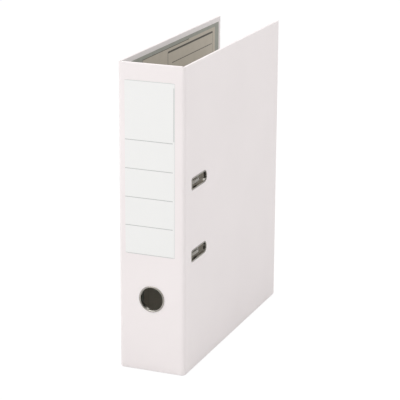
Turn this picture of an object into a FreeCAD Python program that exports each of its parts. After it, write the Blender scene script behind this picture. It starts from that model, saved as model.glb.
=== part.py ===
"""Lever arch file: a hinged board case with a two-ring lever mechanism inside.

Frame: Z is up, the file stands on its bottom edges at Z = 0.  X runs from the rear
cover (-X) to the front cover (+X), Y from the spine (-Y) to the open fore edge (+Y).
The origin is the middle of the file's footprint.  All sizes are millimetres.
"""
import FreeCAD, Part
import math
import os
import Sketcher

Vector = FreeCAD.Vector
Rotation = FreeCAD.Rotation

doc = FreeCAD.newDocument("LeverArchFile")
sheet = doc.addObject("Spreadsheet::Sheet", "Sizes")


class Dim:
    """A length with its present number and the spreadsheet expression that gives it."""

    def __init__(self, text, number):
        self.text = text
        self.number = number

    @staticmethod
    def of(value):
        return value if isinstance(value, Dim) else Dim(repr(value), value)

    def __add__(self, other):
        other = Dim.of(other)
        return Dim(f"({self.text} + {other.text})", self.number + other.number)

    def __sub__(self, other):
        other = Dim.of(other)
        return Dim(f"({self.text} - {other.text})", self.number - other.number)

    def __rsub__(self, other):
        return Dim.of(other) - self

    def __mul__(self, factor):
        return Dim(f"({self.text} * {factor})", self.number * factor)

    __radd__ = __add__
    __rmul__ = __mul__

    def __truediv__(self, divisor):
        return Dim(f"({self.text} / {divisor})", self.number / divisor)

    def __neg__(self):
        return self * -1


def size(alias, number, meaning):
    """Put one driving size in the spreadsheet and return it as a Dim."""
    row = size.rows = size.rows + 1
    sheet.set(f"A{row}", meaning)
    sheet.set(f"B{row}", str(number))
    sheet.setAlias(f"B{row}", alias)
    return Dim(f"Sizes.{alias}", float(number))


size.rows = 0

# ---- driving sizes: the case ------------------------------------------------------
case_width = size("case_width", 76, "over both covers, along X")
case_depth = size("case_depth", 286, "spine to fore edge, along Y")
case_height = size("case_height", 340, "bottom edge to top edge")
board_thick = size("board_thick", 2, "grey board core")
covering_thick = size("covering_thick", 0.3, "outer covering film")
lining_thick = size("lining_thick", 0.2, "inner lining paper")
turn_in = size("turn_in", 6, "covering folded over the board's inner edge")
corner_round = size("corner_round", 4, "outer radius of the covering at the spine corners")
label_width = size("label_width", 57, "spine label")
label_height = size("label_height", 189.5, "spine label")
label_thick = size("label_thick", 0.16, "spine label")
label_foot = size("label_foot", 132, "label's lower edge above the base")
label_side = size("label_side", 7.8, "label's edge to the rear cover's outer face")
index_width = size("index_width", 210, "index sheet on the rear lining, along Y")
index_height = size("index_height", 297, "index sheet on the rear lining, along Z")
index_thick = size("index_thick", 0.1, "index sheet")
index_inset = size("index_inset", 2, "index sheet's edge past the base plate")
index_drop = size("index_drop", 10, "index sheet's upper edge below the file's top")
# ---- driving sizes: finger ring and slots in the case ------------------------------
ring_height = size("ring_height", 83, "finger ring's centre above the base")
ring_bore = size("ring_bore", 12.6, "finger ring's inner radius")
ring_flange = size("ring_flange", 14.7, "finger ring's flange radius")
ring_wall = size("ring_wall", 0.45, "finger ring's barrel wall")
ring_proud = size("ring_proud", 0.9, "flange height above the spine")
ring_bead = size("ring_bead", 0.8, "flange's rounded edges")
washer_thick = size("washer_thick", 0.5, "backing washer of ring and slots")
slot_near = size("slot_near", 20.2, "slot opening's end to the spine's outer face")
slot_length = size("slot_length", 39.8, "slot opening along Y")
slot_height = size("slot_height", 10.4, "slot opening along Z")
slot_near_round = size("slot_near_round", 1.6, "opening's corner radius near the spine")
slot_far_round = size("slot_far_round", 5, "opening's corner radius at the far end")
slot_wall = size("slot_wall", 0.4, "slot eyelet's barrel wall")
slot_rim = size("slot_rim", 1.7, "slot eyelet's flange around the opening")
slot_proud = size("slot_proud", 0.5, "slot flange height above the front cover")
seat_gap = size("seat_gap", 0.05, "clearance of barrels and rivets in the case's holes")
# ---- driving sizes: the mechanism --------------------------------------------------
arch_spacing = size("arch_spacing", 80, "between the two arches, along Z")
wire_radius = size("wire_radius", 2.1, "arch wire")
shaft_inset = size("shaft_inset", 21, "arch shaft's axis to the spine's outer face")
post_reach = size("post_reach", 27, "arch shaft's axis to the post's axis")
crest_gap = size("crest_gap", 0.5, "arch's crest below the front cover's outer face")
near_bend = size("near_bend", 9, "arch's bend above its leg")
far_bend = size("far_bend", 9.5, "arch's bend towards the post")
foot_bend = size("foot_bend", 4.5, "wire's bends at the shaft and the crank")
crank_reach = size("crank_reach", 12, "crank's axis to the shaft's axis")
crank_length = size("crank_length", 30, "crank between its side legs' axes")
crank_rise = size("crank_rise", 6, "crank's middle above the arches' middle")
plate_thick = size("plate_thick", 1.2, "base plate")
plate_length = size("plate_length", 158, "base plate along Z")
plate_margin = size("plate_margin", 8, "plate's edge beyond shaft and posts")
plate_round = size("plate_round", 6, "plate's corner radius")
edge_lip = size("edge_lip", 2.4, "upturned edge of the plate")
lip_clear = size("lip_clear", 3, "upturned edge to the plate's round corners")
strap_length = size("strap_length", 7, "shaft strap along Z")
strap_spacing = size("strap_spacing", 62, "between the straps' middles")
shaft_height = size("shaft_height", 3.4, "shaft's axis above the plate")
running_gap = size("running_gap", 0.06, "radial clearance of turning fits")
post_height = size("post_height", 34.5, "post's tip above the plate")
post_foot = size("post_foot", 4.2, "post's foot collar radius")
post_foot_thick = size("post_foot_thick", 1.2, "post's foot collar")
post_foot_round = size("post_foot_round", 0.5, "post's foot collar edge")
post_tail = size("post_tail", 1.6, "post's riveted tail radius")
cup_radius = size("cup_radius", 1.6, "cup in the post's tip, radius and depth")
tip_gap = size("tip_gap", 0.2, "between arch tip and post")
pivot_height = size("pivot_height", 11.9, "lever pin's axis above the crank's wire")
pivot_ahead = size("pivot_ahead", 5, "lever pin above the crank's middle, along Z")
pin_radius = size("pin_radius", 2, "lever pin")
ear_thick = size("ear_thick", 1.2, "lever ear")
ear_width = size("ear_width", 13, "lever ear along Z")
ear_flare = size("ear_flare", 0.7, "lever ear's root wider, its top narrower, each side")
ear_round = size("ear_round", 5, "lever ear's rounded top")
lever_width = size("lever_width", 13, "lever across its cheeks")
lever_sheet = size("lever_sheet", 1.5, "lever's sheet")
lever_gap = size("lever_gap", 0.5, "lever's cheek to the ear")
lever_reach = size("lever_reach", 52, "lever pin to the lever's end")
lever_roof = size("lever_roof", 4.5, "lever's top above its pin")
lever_drop = size("lever_drop", 8.5, "handle below the lever's top")
lever_curl = size("lever_curl", 4, "upturned thumb end")
lever_nose = size("lever_nose", 3.6, "lever past its pin, away from the handle")
lever_shoulder = size("lever_shoulder", 18, "lever's roof below its pin")
lever_ramp = size("lever_ramp", 13.6, "slope from the lever's roof to its handle, along Z")
lever_bend = size("lever_bend", 3, "bends of the lever's sheet")
paddle_width = size("paddle_width", 16, "lever's thumb end")
paddle_start = size("paddle_start", 4.6, "thumb end's edge above the lever's end")
paddle_length = size("paddle_length", 12.4, "lever's thumb end along Z")
paddle_round = size("paddle_round", 5, "thumb end's corners")
cheek_length = size("cheek_length", 15, "lever's cheek below its pin")
cheek_margin = size("cheek_margin", 3, "lever's cheek past the roller's axis")
cheek_round = size("cheek_round", 2.6, "lever's cheek corners")
pin_head = size("pin_head", 1, "lever pin's riveted heads")
roller_radius = size("roller_radius", 3.8, "roller")
roller_down = size("roller_down", 7.8, "roller's axis below the lever pin")
roller_back = size("roller_back", 4.5, "roller's axis behind the lever pin")
roller_pin_radius = size("roller_pin_radius", 1.5, "roller's pin")
roller_edge = size("roller_edge", 0.6, "roller's rounded edges")
side_gap = size("side_gap", 0.3, "roller to the lever's cheeks")
leaf_thick = size("leaf_thick", 0.7, "leaf spring")
leaf_width = size("leaf_width", 9, "leaf spring along Z")
leaf_behind = size("leaf_behind", 8, "leaf's middle below the crank's middle")
leaf_lift = size("leaf_lift", 0.1, "leaf to the plate and to the crank")
leaf_overhang = size("leaf_overhang", 3, "leaf past the crank")
leaf_inset = size("leaf_inset", 2.7, "leaf's end to the plate's edge")
leaf_round = size("leaf_round", 1.5, "leaf's corners")
leaf_rivet = size("leaf_rivet", 1.6, "leaf's rivet hole radius")
leaf_rivet_head = size("leaf_rivet_head", 2.8, "leaf rivet's head radius")
leaf_rivet_proud = size("leaf_rivet_proud", 0.8, "leaf rivet's head height")
leaf_rivet_inset = size("leaf_rivet_inset", 4.5, "leaf's rivet to the leaf's end")
rivet_radius = size("rivet_radius", 2, "case rivet's shank")
rivet_head = size("rivet_head", 4.5, "case rivet's head radius")
rivet_proud = size("rivet_proud", 0.9, "case rivet's head height")
rivet_clinch = size("rivet_clinch", 3, "case rivet's clinched end radius")
clinch_thick = size("clinch_thick", 0.8, "case rivet's clinched end")
rivet_spacing = size("rivet_spacing", 140, "case rivets along Z")
rivet_inset = size("rivet_inset", 6, "case rivets to the plate's long edges")
# ---- driving sizes: the compressor -------------------------------------------------
bar_lift = size("bar_lift", 3, "compressor bar above the plate")
bar_thick = size("bar_thick", 1, "compressor bar's sheet")
bar_width = size("bar_width", 11, "compressor bar along Y")
bar_overhang = size("bar_overhang", 17, "bar beyond the posts, along Z")
bar_flange = size("bar_flange", 3.5, "bar's upturned sides")
bar_round = size("bar_round", 3, "bar's corner radius")
bar_hole = size("bar_hole", 0.4, "bar's hole wider than a post, all round")
catch_thick = size("catch_thick", 0.8, "locking catch")
catch_width = size("catch_width", 8.4, "locking catch along Y")
catch_inner = size("catch_inner", 9, "catch's hinge to the post's axis")
catch_outer = size("catch_outer", 14, "post's axis to the catch's thumb tab")
catch_tab = size("catch_tab", 5, "thumb tab's height")
catch_slot = size("catch_slot", 0.9, "catch's opening longer than a post, each way")
catch_gap = size("catch_gap", 0.1, "catch above the bar's sides")
catch_pin = size("catch_pin", 0.9, "catch's hinge pin radius")
catch_curl = size("catch_curl", 1.7, "catch's curl around its pin, outer radius")
catch_round = size("catch_round", 1.5, "catch's corners")
catch_slot_round = size("catch_slot_round", 2.4, "corners of the catch's opening")
tab_inset = size("tab_inset", 1.6, "thumb tab narrower than the catch, each side")
catch_ear = size("catch_ear", 2.3, "bar's ear around the catch's pin, half width")
doc.recompute()

# ---- places worked out from the sizes ----------------------------------------------
front_face = case_width / 2
rear_face = -case_width / 2
spine_face = -case_depth / 2
fore_edge = case_depth / 2
wall_core = covering_thick + board_thick
wall_thick = wall_core + lining_thick
rear_inner = rear_face + wall_thick
front_inner = front_face - wall_thick
panel_near = spine_face + corner_round
plate_top = rear_inner + plate_thick
shaft_x = plate_top + shaft_height
shaft_y = spine_face + shaft_inset
post_y = shaft_y + post_reach
crank_y = shaft_y + crank_reach
crest_x = front_face - crest_gap - wire_radius
post_top = plate_top + post_height
middle_z = case_height / 2
lower_z = middle_z - arch_spacing / 2
upper_z = middle_z + arch_spacing / 2
crank_z = middle_z + crank_rise
pivot_x = shaft_x + wire_radius + pivot_height
pivot_z = crank_z + pivot_ahead
roller_x = pivot_x - roller_down
roller_z = pivot_z - roller_back
ring_z = ring_height
bar_x = plate_top + bar_lift
bar_low = lower_z - bar_overhang
bar_high = upper_z + bar_overhang
catch_x = bar_x + bar_thick + bar_flange + catch_gap
catch_hinge_x = catch_x + catch_thick / 2
hole_radius = wire_radius + bar_hole
OVERLAP = 0.2  # how far joined features of one piece run into each other


# ---- helpers -----------------------------------------------------------------------
def bind(thing, path, dim):
    thing.setExpression(path, Dim.of(dim).text)


def new_body(label):
    body = doc.addObject("PartDesign::Body", label)
    body.Label = label
    return body


def place(thing, x=0.0, y=0.0, z=0.0, rotation=None):
    """Bind a sub-part's place; the rotation is a constant."""
    thing.Placement = FreeCAD.Placement(Vector(), rotation or Rotation())
    for axis, dim in (("x", x), ("y", y), ("z", z)):
        bind(thing, f"Placement.Base.{axis}", dim)


def new_sketch(body, role, height=0.0):
    """Sketch on one of the body's own origin planes, raised along its normal."""
    sketch = body.newObject("Sketcher::SketchObject", body.Label + "_outline")
    plane = [entry for entry in body.Origin.OriginFeatures if entry.Role == role][0]
    sketch.AttachmentSupport = [(plane, "")]
    sketch.MapMode = "FlatFace"
    bind(sketch, "AttachmentOffset.Base.z", height)
    return sketch


def constrain(sketch, kind, geometry, *rest):
    """Add a constraint; a Dim as its last value is bound to the spreadsheet."""
    value = rest[-1] if isinstance(rest[-1], Dim) else None
    if value is None:
        sketch.addConstraint(Sketcher.Constraint(kind, geometry, *rest))
        return
    index = sketch.addConstraint(Sketcher.Constraint(kind, geometry, *rest[:-1], value.number))
    name = f"size_{index}"
    sketch.renameConstraint(index, name)
    bind(sketch, f"Constraints.{name}", value)


def pin_point(sketch, geometry, position, across, up):
    constrain(sketch, "DistanceX", geometry, position, Dim.of(across))
    constrain(sketch, "DistanceY", geometry, position, Dim.of(up))


def draw_circle(sketch, across, up, radius):
    across, up, radius = Dim.of(across), Dim.of(up), Dim.of(radius)
    centre = Vector(across.number, up.number, 0)
    index = sketch.addGeometry(Part.Circle(centre, Vector(0, 0, 1), radius.number))
    pin_point(sketch, index, 3, across, up)
    constrain(sketch, "Radius", index, radius)


def draw_outline(sketch, corners):
    """Closed outline through (across, up) or (across, up, radius) corners, in order."""
    points = [Vector(Dim.of(c[0]).number, Dim.of(c[1]).number, 0) for c in corners]
    count = len(points)
    starts, ends, turns = [], [], []
    for i, corner in enumerate(corners):
        before = (points[i - 1] - points[i]).normalize()
        after = (points[(i + 1) % count] - points[i]).normalize()
        turns.append((-before).cross(after).z)
        back = 0.0
        if len(corner) == 3:
            half = before.getAngle(after) / 2
            back = Dim.of(corner[2]).number / math.tan(half)
        ends.append(points[i] + before * back)
        starts.append(points[i] + after * back)
    lines = []
    for i in range(count):
        segment = Part.LineSegment(starts[i], ends[(i + 1) % count])
        lines.append(sketch.addGeometry(segment))
    for i, corner in enumerate(corners):
        line_in, line_out = lines[i - 1], lines[i]
        if len(corner) == 2:
            constrain(sketch, "Coincident", line_in, 2, line_out, 1)
            pin_point(sketch, line_out, 1, corner[0], corner[1])
            continue
        radius = Dim.of(corner[2])
        arc, first, last = round_corner(points[i], ends[i], starts[i], turns[i], radius.number)
        index = sketch.addGeometry(arc)
        vertex = sketch.addGeometry(Part.Point(points[i]), True)
        constrain(sketch, "Tangent", line_in, 2, index, first)
        constrain(sketch, "Tangent", index, last, line_out, 1)
        pin_point(sketch, vertex, 1, corner[0], corner[1])
        constrain(sketch, "PointOnObject", vertex, 1, line_in)
        constrain(sketch, "PointOnObject", vertex, 1, line_out)
        constrain(sketch, "Radius", index, radius)


def round_corner(point, arc_in, arc_out, turn, radius):
    """Arc between two tangent points, and which of its ends comes first."""
    toward = (arc_in + arc_out) / 2 - point
    reach = math.hypot(radius, (arc_in - point).Length)
    centre = point + toward.normalize() * reach
    angle_in = math.atan2(arc_in.y - centre.y, arc_in.x - centre.x)
    angle_out = math.atan2(arc_out.y - centre.y, arc_out.x - centre.x)
    circle = Part.Circle(centre, Vector(0, 0, 1), radius)
    if turn > 0:
        return Part.ArcOfCircle(circle, angle_in, angle_out), 1, 2
    return Part.ArcOfCircle(circle, angle_out, angle_in), 2, 1


def rectangle(low_across, low_up, high_across, high_up, radius=None):
    corners = [
        (low_across, low_up),
        (high_across, low_up),
        (high_across, high_up),
        (low_across, high_up),
    ]
    return [c + (radius,) for c in corners] if radius is not None else corners


def pad(body, sketch, length, middle=False):
    feature = body.newObject("PartDesign::Pad", sketch.Label + "_pad")
    feature.Profile = sketch
    feature.Midplane = middle
    bind(feature, "Length", length)
    return feature


def pocket(body, sketch):
    """Cut right through the body, both ways from the sketch."""
    doc.recompute()
    volume_before = body.Shape.Volume
    feature = body.newObject("PartDesign::Pocket", sketch.Label + "_cut")
    feature.Profile = sketch
    feature.Type = "ThroughAll"
    feature.Midplane = True
    doc.recompute()
    if not body.Shape.Volume < volume_before:
        raise RuntimeError(f"{feature.Label} cuts nothing")
    return feature


def soften(body, radius, pick):
    """Fillet the edges of the body's last feature that pick() accepts."""
    doc.recompute()
    tip = body.Tip
    names = [f"Edge{i + 1}" for i, edge in enumerate(tip.Shape.Edges) if pick(edge)]
    feature = body.newObject("PartDesign::Fillet", body.Label + "_soft")
    feature.Base = (tip, names)
    bind(feature, "Radius", radius)
    return feature


def turned(label, profile):
    """A lathe part about its own Z axis from (radius, along) corners."""
    body = new_body(label)
    sketch = new_sketch(body, "XZ_Plane")
    draw_outline(sketch, profile)
    feature = body.newObject("PartDesign::Revolution", label + "_turned")
    feature.Profile = sketch
    feature.ReferenceAxis = (sketch, ["V_Axis"])
    feature.Angle = 360
    return body


TO_FRONT = Rotation(Vector(0, 1, 0), 90)  # turns a lathe part's Z axis to +X
TO_REAR = Rotation(Vector(0, 1, 0), -90)  # ... to -X
TO_SPINE = Rotation(Vector(1, 0, 0), 90)  # ... to -Y
TO_FORE = Rotation(Vector(1, 0, 0), -90)  # ... to +Y


# ---- case: covers -------------------------------------------------------------------
def slot_corners(grow, centre_z):
    """Slot outline on a cover, grown all round; its far end is rounder."""
    near = spine_face + slot_near - grow
    far = spine_face + slot_near + slot_length + grow
    low = centre_z - slot_height / 2 - grow
    high = centre_z + slot_height / 2 + grow
    near_round = slot_near_round + grow
    far_round = slot_far_round + grow
    return [
        (near, low, near_round),
        (far, low, far_round),
        (far, high, far_round),
        (near, high, near_round),
    ]


def rivet_places():
    plate_near = shaft_y - plate_margin
    plate_far = post_y + plate_margin
    for y in (plate_near + rivet_inset, plate_far - rivet_inset):
        for z in (middle_z - rivet_spacing / 2, middle_z + rivet_spacing / 2):
            yield y, z


def cover_holes(sketch, side):
    """Slots in the front cover, rivet holes in the rear cover."""
    if side == "front":
        for centre_z in (lower_z, upper_z):
            draw_outline(sketch, slot_corners(slot_wall + seat_gap, centre_z))
    else:
        for y, z in rivet_places():
            draw_circle(sketch, y, z, rivet_radius + seat_gap)


def cover_layer(label, side, low_x, thick, near, far, low, high):
    """One flat layer of a cover, with its holes."""
    body = new_body(label)
    sketch = new_sketch(body, "YZ_Plane", low_x)
    draw_outline(sketch, rectangle(near, low, far, high))
    cover_holes(sketch, side)
    pad(body, sketch, thick)
    return body


def three_sided_rim(sketch, width):
    """Strip along the bottom, fore and top edges of a cover."""
    draw_outline(
        sketch,
        [
            (panel_near, 0.0),
            (fore_edge, 0.0),
            (fore_edge, case_height),
            (panel_near, case_height),
            (panel_near, case_height - width),
            (fore_edge - width, case_height - width),
            (fore_edge - width, width),
            (panel_near, width),
        ],
    )


def make_cover(side):
    front = side == "front"
    skin_x = front_face - covering_thick if front else rear_face
    board_x = front_face - wall_core if front else rear_face + covering_thick
    fold_x = board_x - covering_thick if front else board_x + board_thick
    lining_x = front_inner if front else rear_face + wall_core
    edge_x = fold_x if front else board_x
    film = covering_thick

    covering = cover_layer(
        side + "_covering", side, skin_x, film, panel_near, fore_edge, 0.0, case_height
    )
    edge = new_sketch(covering, "YZ_Plane", edge_x)
    three_sided_rim(edge, film)
    pad(covering, edge, board_thick + film)
    fold = new_sketch(covering, "YZ_Plane", fold_x)
    three_sided_rim(fold, turn_in)
    pad(covering, fold, film)

    cover_layer(
        side + "_board", side, board_x, board_thick,
        panel_near, fore_edge - film, film, case_height - film,
    )
    cover_layer(
        side + "_lining", side, lining_x, lining_thick,
        panel_near, fore_edge - turn_in, turn_in, case_height - turn_in,
    )


# ---- case: spine ---------------------------------------------------------------------
def spine_layer(label, inner_depth, thick, low, high):
    """One flat layer of the spine with the ring's hole; depth is measured from the axis."""
    body = new_body(label)
    sketch = new_sketch(body, "XZ_Plane", inner_depth)
    half = front_face - corner_round
    draw_outline(sketch, rectangle(-half, low, half, high))
    draw_circle(sketch, 0.0, ring_z, ring_bore + ring_wall + seat_gap)
    pad(body, sketch, thick)
    return body


def make_spine():
    half = front_face - corner_round
    film = covering_thick
    depth = case_depth / 2
    covering = spine_layer("spine_covering", depth - film, film, 0.0, case_height)
    for depth_in, thick, width in (
        (depth - wall_core, board_thick, film),
        (depth - wall_core - film, film, turn_in),
    ):
        strips = new_sketch(covering, "XZ_Plane", depth_in)
        draw_outline(strips, rectangle(-half, 0.0, half, width))
        draw_outline(strips, rectangle(-half, case_height - width, half, case_height))
        pad(covering, strips, thick)
    spine_layer("spine_board", depth - wall_core, board_thick, film, case_height - film)
    spine_layer(
        "spine_lining", depth - wall_thick, lining_thick, turn_in, case_height - turn_in
    )

    label = new_body("spine_label")
    sketch = new_sketch(label, "XZ_Plane", depth)
    left = rear_face + label_side
    draw_outline(sketch, rectangle(left, label_foot, left + label_width, label_foot + label_height))
    pad(label, sketch, label_thick)


def make_index_sheet():
    """Printed contents sheet glued to the rear cover's lining, beside the mechanism."""
    page = new_body("index_sheet")
    sketch = new_sketch(page, "YZ_Plane", rear_inner)
    near = post_y + plate_margin + index_inset
    high = case_height - index_drop
    draw_outline(sketch, rectangle(near, high - index_height, near + index_width, high))
    pad(page, sketch, index_thick)


def make_hinge_strip(side):
    """Covering film that bends round the corner between the spine and a cover."""
    front = side == "front"
    centre_x = front_face - corner_round if front else rear_face + corner_round
    turn = Rotation(Vector(0, 0, 1), -90 if front else 180)
    shells = []
    for name, radius in (("outer", corner_round), ("inner", corner_round - covering_thick)):
        quarter = doc.addObject("Part::Cylinder", f"{side}_strip_{name}")
        bind(quarter, "Radius", radius)
        bind(quarter, "Height", case_height)
        quarter.Angle = 90
        place(quarter, centre_x, panel_near, 0.0, turn)
        shells.append(quarter)
    strip = doc.addObject("Part::Cut", side + "_hinge_strip")
    strip.Label = side + "_hinge_strip"
    strip.Base, strip.Tool = shells


# ---- case: metal trim ---------------------------------------------------------------
def make_finger_ring():
    """Rolled eyelet through the spine and its washer inside; Z of the profile is outward."""
    barrel = ring_bore + ring_wall
    inside = -wall_thick - washer_thick
    curl = washer_thick
    ring = turned(
        "finger_ring",
        [
            (ring_bore, inside - curl),
            (barrel + curl, inside - curl, curl * 0.8),
            (barrel + curl, inside),
            (barrel, inside),
            (barrel, 0.0),
            (ring_flange, 0.0),
            (ring_flange, ring_proud, ring_bead),
            (ring_bore, ring_proud, ring_bead),
        ],
    )
    place(ring, 0.0, spine_face, ring_z, TO_SPINE)
    washer = turned(
        "finger_ring_washer",
        rectangle(barrel + seat_gap, inside, ring_flange, -wall_thick),
    )
    place(washer, 0.0, spine_face, ring_z, TO_SPINE)


def make_slot_eyelet(name, centre_z):
    """Rimmed liner of a slot in the front cover, with its backing frame inside."""
    eyelet = new_body(f"slot_eyelet_{name}")
    flange = new_sketch(eyelet, "YZ_Plane", front_face)
    draw_outline(flange, slot_corners(slot_rim, centre_z))
    draw_outline(flange, slot_corners(0.0, centre_z))
    pad(eyelet, flange, slot_proud)
    outer_face = (front_face + slot_proud).number

    def on_outer_face(edge):
        return all(abs(v.X - outer_face) < 1e-4 for v in edge.Vertexes)

    soften(eyelet, slot_proud * 0.8, on_outer_face)
    barrel = new_sketch(eyelet, "YZ_Plane", front_inner - washer_thick)
    draw_outline(barrel, slot_corners(slot_wall, centre_z))
    draw_outline(barrel, slot_corners(0.0, centre_z))
    pad(eyelet, barrel, wall_thick + washer_thick + OVERLAP)

    backing = new_body(f"slot_backing_{name}")
    frame = new_sketch(backing, "YZ_Plane", front_inner - washer_thick)
    draw_outline(frame, slot_corners(slot_rim, centre_z))
    draw_outline(frame, slot_corners(slot_wall + seat_gap, centre_z))
    pad(backing, frame, washer_thick)


# ---- mechanism: plate, posts, rivets ------------------------------------------------
def make_base_plate():
    plate = new_body("base_plate")
    sheet_outline = new_sketch(plate, "YZ_Plane", rear_inner)
    near = shaft_y - plate_margin
    far = post_y + plate_margin
    low = middle_z - plate_length / 2
    high = middle_z + plate_length / 2
    draw_outline(sheet_outline, rectangle(near, low, far, high, plate_round))
    for y, z in rivet_places():
        draw_circle(sheet_outline, y, z, rivet_radius + seat_gap)
    for z in (lower_z, upper_z):
        draw_circle(sheet_outline, post_y, z, post_tail + seat_gap)
    pad(plate, sheet_outline, plate_thick)

    lips = new_sketch(plate, "YZ_Plane", plate_top - OVERLAP)
    clear_end = plate_round + lip_clear
    draw_outline(lips, rectangle(near, low + clear_end, near + plate_thick, high - clear_end))
    draw_outline(lips, rectangle(far - plate_thick, low + clear_end, far, high - clear_end))
    pad(plate, lips, edge_lip + OVERLAP)

    root_x = plate_top - OVERLAP
    strap_radius = wire_radius + running_gap + plate_thick
    for side in (-1, 1):
        strap_z = middle_z + side * strap_spacing / 2 - strap_length / 2
        strap = new_sketch(plate, "XY_Plane", strap_z)
        draw_outline(
            strap,
            [
                (root_x, shaft_y - strap_radius),
                (shaft_x + strap_radius, shaft_y - strap_radius, strap_radius * 0.98),
                (shaft_x + strap_radius, shaft_y + strap_radius, strap_radius * 0.98),
                (root_x, shaft_y + strap_radius),
            ],
        )
        draw_circle(strap, shaft_x, shaft_y, wire_radius + running_gap)
        pad(plate, strap, strap_length)

    half_outer = lever_width / 2 + lever_gap + ear_thick
    for outer_depth in (-crank_y + half_outer, -crank_y - half_outer + ear_thick):
        ear = new_sketch(plate, "XZ_Plane", outer_depth - ear_thick)
        draw_outline(
            ear,
            [
                (root_x, pivot_z - ear_width / 2 - ear_flare),
                (pivot_x + ear_round, pivot_z - ear_width / 2 + ear_flare, ear_round),
                (pivot_x + ear_round, pivot_z + ear_width / 2 - ear_flare, ear_round),
                (root_x, pivot_z + ear_width / 2 + ear_flare),
            ],
        )
        draw_circle(ear, pivot_x, pivot_z, pin_radius + seat_gap)
        pad(plate, ear, ear_thick)


def make_post(name, z):
    """Filing post; Z of the profile is its height above the plate."""
    post = turned(
        f"post_{name}",
        [
            (0.0, -plate_thick),
            (post_tail, -plate_thick),
            (post_tail, 0.0),
            (post_foot, 0.0),
            (post_foot, post_foot_thick, post_foot_round),
            (wire_radius, post_foot_thick),
            (wire_radius, post_height),
            (cup_radius, post_height),
            (0.0, post_height - cup_radius),
        ],
    )
    place(post, plate_top, post_y, z, TO_FRONT)


def make_case_rivets():
    """Four rivets through the rear cover and the plate; Z of the profile is outward."""
    inside = -wall_thick - plate_thick
    rivets = []
    for index, (y, z) in enumerate(rivet_places()):
        rivet = turned(
            f"case_rivet_{index + 1}",
            [
                (0.0, inside - clinch_thick),
                (rivet_clinch, inside - clinch_thick, clinch_thick * 0.6),
                (rivet_clinch, inside),
                (rivet_radius, inside),
                (rivet_radius, 0.0),
                (rivet_head, 0.0),
                (rivet_head, rivet_proud, rivet_proud * 0.9),
                (0.0, rivet_proud),
            ],
        )
        place(rivet, rear_face, y, z, TO_REAR)
        rivets.append(rivet)
    group = doc.addObject("Part::Compound", "case_rivets")
    group.Label = "case_rivets"
    group.Links = rivets
    return [rivet.Label for rivet in rivets]


# ---- mechanism: arch wire -----------------------------------------------------------
class WirePath:
    """Straight runs and quarter bends, drawn one after the other along the axes."""

    def __init__(self, start, heading):
        self.point = start
        self.heading = heading
        self.edges = []

    def run(self, length):
        end = self.point + self.heading * length
        self.edges.append(Part.LineSegment(self.point, end).toShape())
        self.point = end

    def bend(self, heading, radius):
        centre = self.point + heading * radius
        middle = centre + (self.heading - heading) * (radius * math.sqrt(0.5))
        end = centre + self.heading * radius
        self.edges.append(Part.Arc(self.point, middle, end).toShape())
        self.point = end
        self.heading = heading


def make_arch_wire():
    """Both arches, their shaft and the crank are one bent wire."""
    up_x, up_y, up_z = Vector(1, 0, 0), Vector(0, 1, 0), Vector(0, 0, 1)
    tip_x = (post_top + tip_gap).number
    start = Vector(tip_x, post_y.number, upper_z.number)
    crest_run = (post_reach - near_bend - far_bend).number
    leg_run = (crest_x - near_bend - shaft_x - foot_bend).number
    tip_run = (crest_x - far_bend).number - tip_x
    crank_top = (crank_z + crank_length / 2).number
    upper_shaft = upper_z.number - foot_bend.number * 2 - crank_top
    lower_shaft = crank_top - crank_length.number - lower_z.number - foot_bend.number * 2
    side_run = (crank_reach - foot_bend * 2).number
    bend = foot_bend.number

    path = WirePath(start, up_x)
    path.run(tip_run)
    path.bend(-up_y, far_bend.number)
    path.run(crest_run)
    path.bend(-up_x, near_bend.number)
    path.run(leg_run)
    path.bend(-up_z, bend)
    path.run(upper_shaft)
    path.bend(up_y, bend)
    path.run(side_run)
    path.bend(-up_z, bend)
    path.run((crank_length - foot_bend * 2).number)
    path.bend(-up_y, bend)
    path.run(side_run)
    path.bend(-up_z, bend)
    path.run(lower_shaft)
    path.bend(up_x, bend)
    path.run(leg_run)
    path.bend(up_y, near_bend.number)
    path.run(crest_run)
    path.bend(-up_x, far_bend.number)
    path.run(tip_run)

    centre_line = doc.addObject("Part::Feature", "arch_centre_line")
    centre_line.Shape = Part.Wire(path.edges)
    section = doc.addObject("Part::Circle", "arch_section")
    bind(section, "Radius", wire_radius)
    place(section, post_top + tip_gap, post_y, upper_z, TO_FRONT)
    sweep = doc.addObject("Part::Sweep", "arch_sweep")
    sweep.Sections = [section]
    sweep.Spine = (centre_line, [f"Edge{i + 1}" for i in range(len(path.edges))])
    sweep.Solid = True
    sweep.Frenet = False
    pieces = [sweep]
    for name, z in (("lower", lower_z), ("upper", upper_z)):
        point = doc.addObject("Part::Cone", f"arch_tip_{name}")
        bind(point, "Radius1", cup_radius - tip_gap * 2)
        bind(point, "Radius2", 0.2)
        bind(point, "Height", cup_radius - tip_gap * 3)
        place(point, post_top + tip_gap, post_y, z, TO_REAR)
        pieces.append(point)
    arches = doc.addObject("Part::MultiFuse", "arch_wire")
    arches.Label = "arch_wire"
    arches.Shapes = pieces


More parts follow.
